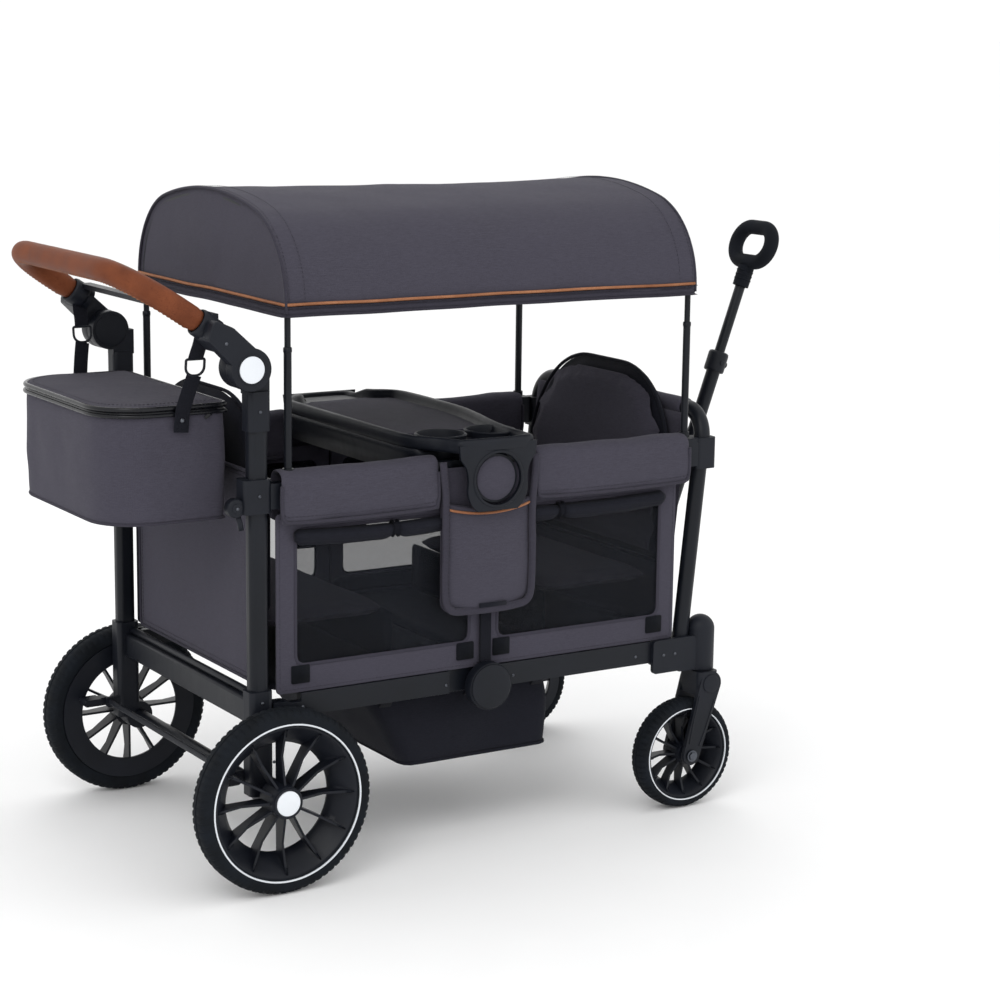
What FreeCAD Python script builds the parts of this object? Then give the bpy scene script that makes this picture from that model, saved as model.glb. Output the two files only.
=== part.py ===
"""Folding stroller wagon with a pull handle, a push handle, a canopy and a hanging bag.

Millimetres. +X points to the pull-handle end, +Y to the left side, +Z up.
The origin is on the ground, half way along the length and on the middle plane.
Each right-hand piece lies at negative Y and its left twin is a mirror image of it.
"""
import FreeCAD
import Part
import os
import re
import Sketcher

Vector = FreeCAD.Vector
os.makedirs("parts", exist_ok=True)
doc = FreeCAD.newDocument("wagon")
nodes = {}

SIZES = {
    # end posts and the folding side rails
    "rear_post_x": 468, "front_post_x": 353, "post_y": 262, "post_wide": 32, "post_deep": 26,
    "post_round": 10, "post_foot": 170, "post_top": 797, "wall": 2, "front_lean": 5.84,
    "front_tube_r": 14, "front_tube_z": 303, "front_tube_foot": 41, "front_tube_rise": 402, "front_bend": 50,
    "pivot_inset": 40, "low_z": 280, "up_z": 632, "rail_y": 268, "rail_wide": 16,
    "rail_above": 29, "rail_below": 9, "rail_eye": 19, "rail_neck": 30, "rail_neck_top": 15,
    "rail_lap": 66, "lap_gap": 0.4, "pin_r": 4, "hub_pin_r": 5, "play": 0.05,
    "cheek_r": 20, "cheek_out_y": 278.15, "cheek_in_y": 257.7, "cheek_wide": 3.7,
    "collar_wide": 48, "collar_back": 5, "collar_deep": 36, "collar_low": 606, "collar_high": 660,
    # rear axle, legs, cross bar and handle pivots
    "axle_z": 150, "rear_axle_x": 450, "axle_r": 11, "stub_r": 6, "axle_half": 286,
    "stub_half": 325, "leg_wide": 40, "leg_high": 320, "knuckle_r": 24,
    "bar_x": 460, "bar_wide": 28, "bar_low": 258, "bar_high": 300, "bar_half": 245, "rod_r": 6,
    "handle_x": 491, "handle_z": 835, "handle_hub_r": 33, "handle_pin_r": 8,
    "sleeve_low": 735, "sleeve_wide": 38, "sleeve_deep": 32,
    # wheels
    "rear_wheel_y": 312, "rear_tyre_r": 150, "rear_rim_r": 124.5, "rear_dish_r": 90,
    "rear_half": 23, "rear_hub_r": 29, "rear_bore_r": 6, "blade": 4, "blade_count": 12,
    "caster_y": 268, "caster_x": 393, "front_axle_x": 359, "front_axle_z": 98,
    "front_tyre_r": 98, "front_rim_r": 79.5, "front_dish_r": 58, "front_half": 20,
    "front_hub_r": 21, "front_bore_r": 5,
    "housing_r": 25, "housing_low": 248, "housing_high": 319, "block_low": 250, "block_high": 306,
    "block_wide": 34, "flange_low": 252, "flange_high": 311, "flange_wide": 7.7,
    "flange_y": 280.15, "stem_r": 6, "stem_top": 300,
    "leg_gap": 23, "fork_leg": 8, "fork_top_x": 397, "fork_top_z": 224, "fork_top_r": 22,
    "fork_foot_r": 17, "fork_lean": 16.8, "fork_long": 131.6, "crown_low": 203, "crown_high": 246,
    # pull handle
    "pull_x": 440, "pull_z": 270, "pull_lean": 20, "pull_tube_r": 13, "pull_tube_long": 523,
    "pull_rod_r": 9.5, "pull_rod_low": 170, "pull_rod_high": 653, "grip_socket": 47,
    "loop_mid": 734, "loop_r": 33, "loop_flat": 18, "loop_bar_r": 13.5,
    # push handle
    "arm_y": 284.7, "arm_deep": 24.6, "arm_wide": 34, "arm_long": 86, "arm_angle": 45,
    "shoulder_long": 34, "shoulder_in_y": 244.5, "shoulder_out_y": 296.5,
    "grip_x": 556.5, "grip_z": 905, "grip_y": 251.6, "grip_r": 19, "grip_reach": 140,
    "grip_corner": 100, "grip_slope": 33.5, "socket_long": 30, "yoke_x": 535, "yoke_z": 914,
    "yoke_wide": 20, "yoke_thick": 8,
    # bag
    "bag_front_x": 487, "bag_rear_x": 692, "bag_half": 200, "bag_low": 590, "bag_high": 766,
    "bag_round": 75, "cloth": 4, "lid_high": 779, "strap_wide": 26, "strap_in_y": 203.5,
    "strap_foot": 731, "strap_thick": 3, "strap_rise": 92, "strap_flare": 34.5,
    # canopy
    "rod_rear_x": 416, "rod_front_x": 346, "rod_y": 268, "rod_low_z": 663, "rod_high_z": 860,
    "lower_rod_r": 6.25, "upper_rod_r": 5, "rod_play": 0.1, "upper_rod_low": 725,
    "roof_rear_x": 425, "roof_front_x": 354.5, "roof_half": 280, "roof_low": 915, "roof_top": 1092,
    "roof_spring": 925, "shoulder_r": 150, "roof_cloth": 3, "foot_r": 9,
    # fabric cabin
    "cabin_low": 313, "cabin_high": 604, "floor_thick": 6, "side_y": 271, "side_thick": 6,
    "side_rear_x": 441, "side_front_x": 330, "floor_half": 250, "seat_top": 430,
    "seat_half": 232, "seat_depth": 238, "back_half": 222, "back_top": 776, "back_thick": 32,
    "back_round": 175, "seat_thick": 34, "end_half": 238, "panel_low": 324, "panel_high": 662,
    "flap_out": 290, "flap_in": 246, "flap_low": 585, "flap_high": 673, "flap_cloth": 6,
    "rear_flap_end": 150, "front_flap_end": 29, "front_back_x": 281.6,
    "panel_thick": 6, "end_pocket_gap": 7, "end_pocket_foot": 26, "end_pocket_rim": 226,
    "end_pocket_deep": 46, "flap_pocket_y": 88, "flap_pocket_wide": 210, "bottle_pocket_y": 128,
    "bottle_pocket_wide": 120,
    # pieces carried by the hubs
    "hub_r": 40, "hub_in_y": 281, "low_hub_y": 300, "up_hub_y": 306, "link_wide": 20,
    "pocket_rear_x": 148, "pocket_front_x": 26, "pocket_low": 410, "pocket_high": 591,
    "pocket_in_y": 282, "pocket_out_y": 300,
    "basket_rear_x": 250, "basket_front_x": 105, "basket_half": 232, "basket_low": 134,
    "basket_high": 262, "basket_rake": 70,
    # tray
    "tray_half_long": 125, "tray_half_wide": 270, "tray_low": 676, "tray_top": 700,
    "tray_rim": 13, "tray_floor": 7, "tray_round": 45, "apron_in_y": 307.5, "apron_out_y": 315,
    "apron_low": 578, "apron_hole_r": 42, "cup_r": 38, "cup_wall": 3, "cup_low": 622,
    "cup_apart": 55, "cup_y": 208,
    # brake
    "brake_x": 503, "brake_z": 180, "brake_rod_r": 5, "pedal_long": 46,
}

FUNCTIONS = ("sin", "cos", "tan", "sqrt")
dims = doc.addObject("Spreadsheet::Sheet", "dims")
for row, (alias, value) in enumerate(SIZES.items(), start=1):
    dims.set("A%d" % row, str(value))
    dims.setAlias("A%d" % row, alias)
doc.recompute()


def linked(text):
    """A size formula with each plain word turned into a reference to the sheet."""
    return re.sub(r"[a-z][a-z_]+", lambda m: m[0] if m[0] in FUNCTIONS else "dims." + m[0], text)


def bind(thing, **formulas):
    for name, text in formulas.items():
        thing.setExpression(name, linked(text))
    return thing


def place(thing, at, axis=None, angle=None):
    """Puts a piece at three formulas, turned about an axis by a formula in degrees."""
    if axis:
        thing.Placement = FreeCAD.Placement(Vector(), FreeCAD.Rotation(Vector(*axis), 45))
        thing.setExpression("Placement.Rotation.Angle", linked(angle))
    for letter, text in zip("xyz", at):
        thing.setExpression("Placement.Base." + letter, linked(text))
    return thing


def plane_of(body, role):
    return next(f for f in body.Origin.OriginFeatures if f.Role == role)


def new_sketch(body, role, name):
    sketch = body.newObject("Sketcher::SketchObject", name)
    sketch.AttachmentSupport = [(plane_of(body, role), "")]
    sketch.MapMode = "FlatFace"
    return sketch


def outline(sketch, corners):
    """A closed polygon whose corners are held at formulas."""
    count = len(corners)
    spots = [Vector(200 * i, 37 * i * i, 0) for i in range(count)]
    first = sketch.GeometryCount
    for i in range(count):
        sketch.addGeometry(Part.LineSegment(spots[i], spots[(i + 1) % count]), False)
    for i in range(count):
        after = first + (i + 1) % count
        sketch.addConstraint(Sketcher.Constraint("Coincident", first + i, 2, after, 1))
    for i, corner in enumerate(corners):
        for kind, text in zip(("DistanceX", "DistanceY"), corner):
            limit = Sketcher.Constraint(kind, -1, 1, first + i, 1, 10.0 + i)
            index = sketch.addConstraint(limit)
            sketch.setExpression("Constraints[%d]" % index, linked(text))


def prism(name, role, corners, thick, at=("0", "0", "0"), round_r=None, axis=None, angle=None):
    """A polygon pushed both ways from its plane, with the corners along the push rounded."""
    body = doc.addObject("PartDesign::Body", name)
    sketch = new_sketch(body, role, name + "_outline")
    outline(sketch, corners)
    pad = body.newObject("PartDesign::Pad", name + "_pad")
    pad.Profile = sketch
    pad.SideType = "Symmetric"
    bind(pad, Length=thick)
    if round_r:
        doc.recompute()
        normals = {"XY_Plane": Vector(0, 0, 1), "XZ_Plane": Vector(0, 1, 0), "YZ_Plane": Vector(1, 0, 0)}
        normal = normals[role]
        along = [
            "Edge%d" % (i + 1)
            for i, edge in enumerate(pad.Shape.Edges)
            if abs(edge.tangentAt(edge.FirstParameter).dot(normal)) > 0.999
        ]
        fillet = body.newObject("PartDesign::Fillet", name + "_round")
        fillet.Base = (pad, along)
        bind(fillet, Radius=round_r)
    return place(body, at, axis, angle)


def rectangle(low, high):
    return [(low[0], low[1]), (high[0], low[1]), (high[0], high[1]), (low[0], high[1])]


def upright(name, wide, deep, low, high, x, y, round_r=None):
    """A rectangular bar standing along Z, centred at x and y."""
    half = ["(%s)/2" % wide, "(%s)/2" % deep]
    corners = rectangle(["-" + half[0], "-" + half[1]], half)
    middle = "(%s + %s)/2" % (low, high)
    return prism(name, "XY_Plane", corners, "%s - (%s)" % (high, low), (x, y, middle), round_r)


def slab(name, low_x, high_x, low_z, high_z, y, thick, round_r=None):
    """A flat piece standing along X and Z, with its middle at y."""
    corners = rectangle([low_x, low_z], [high_x, high_z])
    return prism(name, "XZ_Plane", corners, thick, ("0", y, "0"), round_r)


def rod(name, x, y, z, radius, length, along="z"):
    """A cylinder that starts at a point and runs along +Y or +Z."""
    cylinder = doc.addObject("Part::Cylinder", name)
    bind(cylinder, Radius=radius, Height=length)
    if along == "y":
        return place(cylinder, (x, y, z), (1, 0, 0), "-90")
    return place(cylinder, (x, y, z))


def across(name, x, z, radius, low_y, high_y):
    """A cylinder along Y between two places."""
    return rod(name, x, low_y, z, radius, "%s - (%s)" % (high_y, low_y), "y")


def fuse(name, pieces):
    joined = doc.addObject("Part::MultiFuse", name)
    joined.Shapes = pieces
    return joined


def cut(name, base, tools):
    tool = tools[0] if len(tools) == 1 else fuse(name + "_tools", tools)
    result = doc.addObject("Part::Cut", name)
    result.Base = base
    result.Tool = tool
    return result


def mirrored(name, thing):
    twin = doc.addObject("Part::Mirroring", name)
    twin.Source = thing
    twin.Normal = Vector(0, 1, 0)
    return twin


def group(name, pieces):
    compound = doc.addObject("Part::Compound", name)
    compound.Links = pieces
    return compound


def node(label, thing):
    thing.Label = label
    nodes[label] = thing
    return thing


def twins(label, thing):
    """Two nodes: the right-hand piece and its mirror image."""
    node(label + "_right", thing)
    node(label + "_left", mirrored(label + "_mirror", thing))


def both_sides(label, thing):
    """One node with the right-hand piece and its mirror image."""
    node(label, group(label, [thing, mirrored(label + "_mirror", thing)]))


HUB_X = "(front_post_x - rear_post_x)/2"
REAR_PIVOT = "(pivot_inset - rear_post_x)"
FRONT_PIVOT = "(front_post_x - pivot_inset)"


def clevis(name, pivot_x, from_x, z):
    """Two cheeks and the pin between them, as a list of pieces."""
    pieces = []
    for side, y in (("outer", "-cheek_out_y"), ("inner", "-cheek_in_y")):
        title = name + "_" + side
        pieces.append(slab(title, from_x, pivot_x, z + " - cheek_r", z + " + cheek_r", y, "cheek_wide"))
        start = "%s - cheek_wide/2" % y
        pieces.append(rod(title + "_end", pivot_x, start, z, "cheek_r", "cheek_wide", "y"))
    pin_start = "-cheek_out_y - cheek_wide/2"
    pieces.append(across(name + "_pin", pivot_x, z, "pin_r", pin_start, "-cheek_in_y + cheek_wide/2"))
    return pieces


def make_rear_posts():
    outer = upright("post_outer", "post_wide", "post_deep", "post_foot", "post_top",
                    "-rear_post_x", "-post_y", "post_round")
    inner = upright("post_inner", "post_wide - 2*wall", "post_deep - 2*wall", "post_foot - 1",
                    "post_top + 1", "-rear_post_x", "-post_y", "post_round - wall")
    twins("rear_post", cut("rear_post", outer, [inner]))
    return outer


def make_leg_housings(post):
    box = upright("leg_box", "leg_wide", "34", "axle_z", "leg_high", "-rear_post_x", "-post_y", "8")
    knuckle = across("knuckle", "-rear_axle_x", "axle_z", "knuckle_r", "-283", "-245")
    lug = slab("brake_lug", "-brake_x - 8", "-480", "brake_z - 9", "brake_z + 9", "-250", "6", "4")
    bore = across("leg_bore", "-rear_axle_x", "axle_z", "axle_r", "-axle_half", "-200")
    pin_bore = across("brake_bore", "-brake_x", "brake_z", "brake_rod_r + play", "-260", "-240")
    body = fuse("leg_body", [box, knuckle, lug])
    twins("rear_leg_housing", cut("rear_leg_housing", body, [post, bore, pin_bore]))


def make_rear_cross_members():
    corners = rectangle(["-bar_x - bar_wide/2", "bar_low"], ["-bar_x + bar_wide/2", "bar_high"])
    outer = prism("bar_outer", "XZ_Plane", corners, "2*bar_half", round_r="5")
    holes = rectangle(["-bar_x - bar_wide/2 + wall", "bar_low + wall"],
                      ["-bar_x + bar_wide/2 - wall", "bar_high - wall"])
    inner = prism("bar_inner", "XZ_Plane", holes, "2*bar_half + 2", round_r="3")
    tube = cut("bar_tube", outer, [inner])
    round_bar = across("bar_round", "-bar_x", "bar_high + rod_r - 1", "rod_r", "-bar_half", "bar_half")
    node("rear_cross_bar", fuse("rear_cross_bar", [tube, round_bar]))
    axle = across("axle_tube", "-rear_axle_x", "axle_z", "axle_r", "-axle_half", "axle_half")
    stubs = across("axle_stubs", "-rear_axle_x", "axle_z", "stub_r", "-stub_half", "stub_half")
    node("rear_axle", fuse("rear_axle", [axle, stubs]))


def make_rear_brackets(post):
    collar = upright("rear_collar", "collar_wide", "collar_deep", "collar_low", "collar_high",
                     "-rear_post_x - collar_back", "-post_y", "8")
    upper = clevis("rear_upper", REAR_PIVOT, "-rear_post_x + post_wide/2", "up_z")
    lower = clevis("rear_lower", REAR_PIVOT, "-rear_post_x + leg_wide/2 + 0.02", "low_z")
    sleeve = upright("sleeve", "sleeve_wide", "sleeve_deep", "sleeve_low", "post_top",
                     "-rear_post_x", "-post_y", "8")
    upper_solid = cut("rear_upper_bracket", fuse("rear_upper_body", [collar] + upper), [post])
    lower_solid = fuse("rear_lower_bracket", lower)
    both_sides("rear_rail_brackets", group("rear_brackets_right", [upper_solid, lower_solid]))
    disc = across("pivot_disc", "-handle_x", "handle_z", "handle_hub_r", "-272", "-248")
    neck = upright("pivot_neck", "sleeve_wide", "24", "post_top - 4", "handle_z", "-rear_post_x", "-260")
    pin = across("pivot_pin", "-handle_x", "handle_z", "handle_pin_r", "-292", "-270")
    base = fuse("pivot_base", [sleeve, disc, neck, pin])
    both_sides("handle_pivot_bases", cut("pivot_base_right", base, [post]))


def wheel(end, x, y, z, capped):
    """The rim and tyre of a right-hand wheel, whose outer face points to -Y; a cap closes its hub."""
    rim = doc.addObject("PartDesign::Body", end + "_rim_body")
    r, dish, half = end + "_rim_r", end + "_dish_r", end + "_half"
    hub_r, bore = end + "_hub_r", end + "_bore_r + play"
    face = "(%s - 4)" % half
    hub = new_sketch(rim, "XY_Plane", end + "_hub_outline")
    corners = [(bore, half), (hub_r, half), (hub_r + " - 3", "-" + face)]
    if capped:
        corners += [("0", "-" + face + " - 2"), ("0", "-" + face + " + 4"), (bore, "-" + face + " + 4")]
    else:
        corners.append((bore, "-" + face))
    outline(hub, corners)
    turned = rim.newObject("PartDesign::Revolution", end + "_hub")
    turned.Profile = hub
    turned.ReferenceAxis = (hub, ["V_Axis"])
    turned.Angle = 360
    spoke = new_sketch(rim, "XY_Plane", end + "_spoke_outline")
    outline(spoke, [(hub_r + " - 6", "-" + face + " + 8"), (dish + "*0.8", "0"),
                    (r + " - 7", "-" + face + " + 6"), (r + " - 7", half + " - 3"),
                    (hub_r + " - 6", half + " - 3")])
    blade = rim.newObject("PartDesign::Pad", end + "_spoke")
    blade.Profile = spoke
    blade.SideType = "Symmetric"
    bind(blade, Length="blade")
    spokes = rim.newObject("PartDesign::PolarPattern", end + "_spokes")
    spokes.Originals = [blade]
    spokes.Axis = (hub, ["V_Axis"])
    spokes.Angle = 360
    bind(spokes, Occurrences="blade_count")
    rim.Tip = spokes
    ring = new_sketch(rim, "XY_Plane", end + "_ring_outline")
    outline(ring, [(r, "-" + face), (r + " - 3", "-" + face), (dish, half + " - 4"), (dish, half), (r, half)])
    dished = rim.newObject("PartDesign::Revolution", end + "_ring")
    dished.Profile = ring
    dished.ReferenceAxis = (ring, ["V_Axis"])
    dished.Angle = 360
    rim.Tip = dished
    tyre = doc.addObject("PartDesign::Body", end + "_tyre_body")
    top = end + "_tyre_r"
    tread = new_sketch(tyre, "XY_Plane", end + "_tyre_outline")
    outline(tread, [(r, "-" + face), (r + " + 4", "-" + half + " + 1"), (top + " - 10", "-" + half),
                    (top + " - 3", "-%s + 6" % half), (top, "-%s + 13" % half), (top, "%s - 13" % half),
                    (top + " - 3", "%s - 6" % half), (top + " - 10", half), (r, half)])
    rolled = tyre.newObject("PartDesign::Revolution", end + "_tyre")
    rolled.Profile = tread
    rolled.ReferenceAxis = (tread, ["V_Axis"])
    rolled.Angle = 360
    twins(end + "_rim", place(rim, (x, y, z)))
    twins(end + "_tyre", place(tyre, (x, y, z)))


def rail(name, pivot_x, toward_hub, z, lap_y):
    """One half of a folding side rail: an end eye, a full-width bar and a half-width lap."""
    away = "-" if toward_hub == "+" else "+"
    neck_x = "%s %s rail_neck" % (pivot_x, toward_hub)
    lap_x = "%s %s rail_lap" % (HUB_X, away)
    top, low = z + " + rail_above", z + " - rail_below"
    corners = [(pivot_x, low), (lap_x, low), (lap_x, top), (neck_x, top),
               (neck_x, z + " + rail_neck_top"), (pivot_x, z + " + rail_neck_top")]
    bar = prism(name + "_bar", "XZ_Plane", corners, "rail_wide", ("0", "-rail_y", "0"))
    half = "(rail_wide - lap_gap)/2"
    lap = slab(name + "_lap", lap_x, HUB_X, low, top, lap_y, half)
    eye = rod(name + "_eye", pivot_x, "-rail_y - rail_wide/2", z, "rail_eye", "rail_wide", "y")
    tip = rod(name + "_tip", HUB_X, "%s - %s/2" % (lap_y, half), z, "rail_eye", half, "y")
    bore = across(name + "_bore", pivot_x, z, "pin_r + play", "-rail_y - 12", "-rail_y + 12")
    hub_bore = across(name + "_hub_bore", HUB_X, z, "hub_pin_r + play", "-rail_y - 12", "-rail_y + 12")
    return cut(name + "_right", fuse(name + "_body", [bar, lap, eye, tip]), [bore, hub_bore])


def flap(name, low_x, high_x):
    """The cloth sleeve folded over a top rail, open below."""
    wide = "flap_out - flap_in"
    middle = "-(flap_out + flap_in)/2"
    outer = slab(name + "_outer", low_x, high_x, "flap_low", "flap_high", middle, wide)
    inner = slab(name + "_inner", low_x + " - 1", high_x + " + 1", "flap_low - 1", "flap_high - flap_cloth",
                 middle, wide + " - 2*flap_cloth")
    holes = [rod(name + "_hole_" + end, x, "-rod_y", "600", "foot_r + 2", "100")
             for end, x in (("rear", "-rod_rear_x"), ("front", "rod_front_x"))]
    return cut(name + "_right", outer, [inner] + holes)


def make_rails():
    inner_lap = "-rail_y + (rail_wide + lap_gap)/4"
    outer_lap = "-rail_y - (rail_wide + lap_gap)/4"
    for level, z in (("lower", "low_z"), ("upper", "up_z")):
        both_sides(level + "_rails_rear", rail(level + "_rear", REAR_PIVOT, "+", z, inner_lap))
        both_sides(level + "_rails_front", rail(level + "_front", FRONT_PIVOT, "-", z, outer_lap))
    both_sides("rail_covers_rear", flap("rear_flap", "-side_rear_x - 1", "-rear_flap_end"))
    both_sides("rail_covers_front", flap("front_flap", "front_flap_end", "rod_front_x + 2"))


def make_hubs():
    for level, z, out_y in (("lower", "low_z", "low_hub_y"), ("upper", "up_z", "up_hub_y")):
        disc = across(level + "_disc", HUB_X, z, "hub_r", "-" + out_y, "-hub_in_y")
        pin = across(level + "_hub_pin", HUB_X, z, "hub_pin_r", "-hub_in_y - 1",
                     "-rail_y + rail_wide/2 + 0.5")
        washer = across(level + "_washer", HUB_X, z, "14", "-rail_y + rail_wide/2 + 0.4", "-256")
        both_sides(level + "_hub_discs", fuse(level + "_hub_right", [disc, pin, washer]))
    link = slab("link", HUB_X + " - link_wide/2", HUB_X + " + link_wide/2", "low_z - 18", "up_z + 18",
                "-hub_in_y + 2", "4", "8")
    bores = [across("link_bore_" + name, HUB_X, z, "hub_pin_r", "-290", "-270")
             for name, z in (("low", "low_z"), ("up", "up_z"))]
    both_sides("hub_links", cut("link_right", link, bores))
    middle = "-(pocket_in_y + pocket_out_y)/2"
    outer = slab("pocket_outer", "-pocket_rear_x", "pocket_front_x", "pocket_low", "pocket_high",
                 middle, "pocket_out_y - pocket_in_y", "8")
    inner = slab("pocket_inner", "-pocket_rear_x + cloth", "pocket_front_x - cloth", "pocket_low + cloth",
                 "pocket_high + 20", middle, "pocket_out_y - pocket_in_y - 2*3")
    both_sides("side_pockets", cut("pocket_right", outer, [inner]))
    corners = [("-basket_rear_x", "basket_high"), ("-basket_rear_x + basket_rake", "basket_low"),
               ("basket_front_x", "basket_low"), ("basket_front_x", "basket_high")]
    hollow = [("-basket_rear_x + cloth", "basket_high + 5"),
              ("-basket_rear_x + basket_rake + cloth", "basket_low + cloth"),
              ("basket_front_x - cloth", "basket_low + cloth"), ("basket_front_x - cloth", "basket_high + 5")]
    shell = prism("basket_outer", "XZ_Plane", corners, "2*basket_half")
    space = prism("basket_inner", "XZ_Plane", hollow, "2*basket_half - 2*cloth")
    node("under_basket", cut("under_basket", shell, [space]))


def make_tray():
    long, wide = "2*tray_half_long", "2*tray_half_wide"
    pan = upright("tray_pan", long, wide, "tray_low", "tray_top", HUB_X, "0", "tray_round")
    recess = upright("tray_recess", long + " - 2*tray_rim", wide + " - 2*tray_rim",
                     "tray_low + tray_floor", "tray_top + 1", HUB_X, "0", "tray_round - tray_rim")
    corners = [(HUB_X + " - 74", "tray_top"), (HUB_X + " - 60", "apron_low + 20"),
               (HUB_X + " - 44", "apron_low"), (HUB_X + " + 44", "apron_low"),
               (HUB_X + " + 60", "apron_low + 20"), (HUB_X + " + 74", "tray_top")]
    aprons = []
    for side, sign in (("right", "-"), ("left", "")):
        middle = sign + "(apron_in_y + apron_out_y)/2"
        plate = prism("apron_" + side, "XZ_Plane", corners, "apron_out_y - apron_in_y", ("0", middle, "0"))
        shelf_mid = sign + "(tray_half_wide - 10 + apron_out_y)/2"
        shelf = upright("shelf_" + side, "148", "apron_out_y - tray_half_wide + 10", "tray_top - 12",
                        "tray_top", HUB_X, shelf_mid)
        aprons += [plate, shelf]
    hole = across("apron_hole", HUB_X, "up_z", "apron_hole_r", "-330", "330")
    cups, bores = [], []
    for side, sign in (("rear", "-"), ("front", "+")):
        x = "%s %s cup_apart/2 %s 20" % (HUB_X, sign, sign)
        cups.append(rod("cup_" + side, x, "-cup_y", "cup_low", "cup_r + cup_wall", "tray_top - 5 - cup_low"))
        bores.append(rod("cup_bore_" + side, x, "-cup_y", "cup_low + cup_wall", "cup_r", "100"))
    solid = fuse("tray_solid", [cut("tray_dish", pan, [recess])] + aprons + cups)
    node("tray", cut("tray", solid, [hole] + bores))


def make_cabin():
    floor_top = "cabin_low + floor_thick"
    floor_mid = "cabin_low + floor_thick/2"
    riser = "10"
    for end, near, far, sign in (("rear", "-side_rear_x + 3", HUB_X + " - 1", "+"),
                                 ("front", "side_front_x - 5", HUB_X + " + 1", "-")):
        corners = rectangle([near, "-floor_half"], [far, "floor_half"])
        node("floor_" + end, prism("floor_" + end, "XY_Plane", corners, "floor_thick", ("0", "0", floor_mid)))
        wall = slab("wall_" + end, near.replace("+ 3", "").replace("- 5", ""), far, "cabin_low", "cabin_high",
                    "-side_y", "side_thick")
        twins("side_wall_" + end, wall)
        edge = "%s %s seat_depth" % (near, sign)
        inner_edge = "%s %s (seat_depth - %s)" % (near, sign, riser)
        profile = [(near, "seat_top - seat_thick"), (near, "seat_top"), (edge, "seat_top"),
                   (edge, floor_top + " + 1"), (inner_edge, floor_top + " + 1"),
                   (inner_edge, "seat_top - seat_thick")]
        node(end + "_seat", prism(end + "_seat", "XZ_Plane", profile, "2*seat_half"))
        foot, lean_at, lean = "seat_top + 1", (near + " + back_thick/2", "0", "0"), "0"
        if end == "front":
            foot, lean_at, lean = "seat_top + 5", ("front_back_x", "0", "0"), "front_lean"
        face = [("-back_half", foot), ("back_half", foot), ("back_half", "back_top - back_round"),
                ("0.45*back_half", "back_top"), ("-0.45*back_half", "back_top"),
                ("-back_half", "back_top - back_round")]
        back = prism(end + "_backrest", "YZ_Plane", face, "back_thick", lean_at, "28", (0, 1, 0), lean)
        node(end + "_backrest", back)
    rear = rectangle(["-rear_post_x + 18", "panel_low"], ["-rear_post_x + 18 + panel_thick", "panel_high"])
    node("rear_panel", prism("rear_panel", "XZ_Plane", rear, "2*end_half"))
    slope = "tan(front_lean)"
    low_x = "front_post_x - 22"
    high_x = "%s + (panel_high - panel_low)*%s" % (low_x, slope)
    front = [(low_x, "panel_low"), (low_x + " + panel_thick", "panel_low"),
             (high_x + " + panel_thick", "panel_high"), (high_x, "panel_high")]
    node("front_panel", prism("front_panel", "XZ_Plane", front, "2*end_half"))
    pockets = []
    base, top = "panel_low + end_pocket_foot", "panel_low + end_pocket_rim"
    back_low = "%s + end_pocket_gap + end_pocket_foot*%s" % (low_x, slope)
    back_high = "%s + end_pocket_gap + end_pocket_rim*%s" % (low_x, slope)
    face_low, face_high = back_low + " + end_pocket_deep", back_high + " + end_pocket_deep"
    outer = [(back_low, base), (face_low, base), (face_high, top), (back_high, top)]
    inner = [(back_low + " + cloth", base + " + cloth"), (face_low + " - cloth", base + " + cloth"),
             (face_high + " - cloth", top + " + 1"), (back_high + " + cloth", top + " + 1")]
    for side, middle, wide in (("flap", "-flap_pocket_y", "flap_pocket_wide"),
                               ("bottle", "bottle_pocket_y", "bottle_pocket_wide")):
        shell = prism(side + "_pocket_outer", "XZ_Plane", outer, wide, ("0", middle, "0"))
        space = prism(side + "_pocket_inner", "XZ_Plane", inner, wide + " - 2*cloth", ("0", middle, "0"))
        pockets.append(cut(side + "_pocket", shell, [space]))
    node("front_pockets", group("front_pockets", pockets))


def make_front_tube():
    """The upside-down U of tube: two leaning legs with a bar across the top."""
    def bent(name, radius):
        body = doc.addObject("PartDesign::Body", name)
        names = ("front_tube_foot", "front_tube_rise", "post_y", "front_bend")
        foot, rise, half, bend = (SIZES[key] for key in names)
        path = new_sketch(body, "YZ_Plane", name + "_path")
        side = rise - bend
        inner = half - bend
        diagonal = bend * (1 - 0.5 ** 0.5)
        path.addGeometry(Part.LineSegment(Vector(-half, -foot, 0), Vector(-half, side, 0)), False)
        path.addGeometry(Part.Arc(Vector(-half, side, 0), Vector(-half + diagonal, rise - diagonal, 0),
                                  Vector(-inner, rise, 0)), False)
        path.addGeometry(Part.LineSegment(Vector(-inner, rise, 0), Vector(inner, rise, 0)), False)
        path.addGeometry(Part.Arc(Vector(inner, rise, 0), Vector(half - diagonal, rise - diagonal, 0),
                                  Vector(half, side, 0)), False)
        path.addGeometry(Part.LineSegment(Vector(half, side, 0), Vector(half, -foot, 0)), False)
        ring = new_sketch(body, "XY_Plane", name + "_ring")
        ring.AttachmentOffset = FreeCAD.Placement(Vector(0, 0, -foot), FreeCAD.Rotation())
        ring.addGeometry(Part.Circle(Vector(0, -half, 0), Vector(0, 0, 1), radius), False)
        limit = ring.addConstraint(Sketcher.Constraint("Radius", 0, radius))
        ring.setExpression("Constraints[%d]" % limit, linked("front_tube_r"))
        pipe = body.newObject("PartDesign::AdditivePipe", name + "_pipe")
        pipe.Profile = ring
        pipe.Spine = (path, [])
        return place(body, ("front_post_x", "0", "front_tube_z"), (0, 1, 0), "front_lean")
    tube = bent("front_tube", SIZES["front_tube_r"])
    node("front_tube", tube)
    return tube


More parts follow.
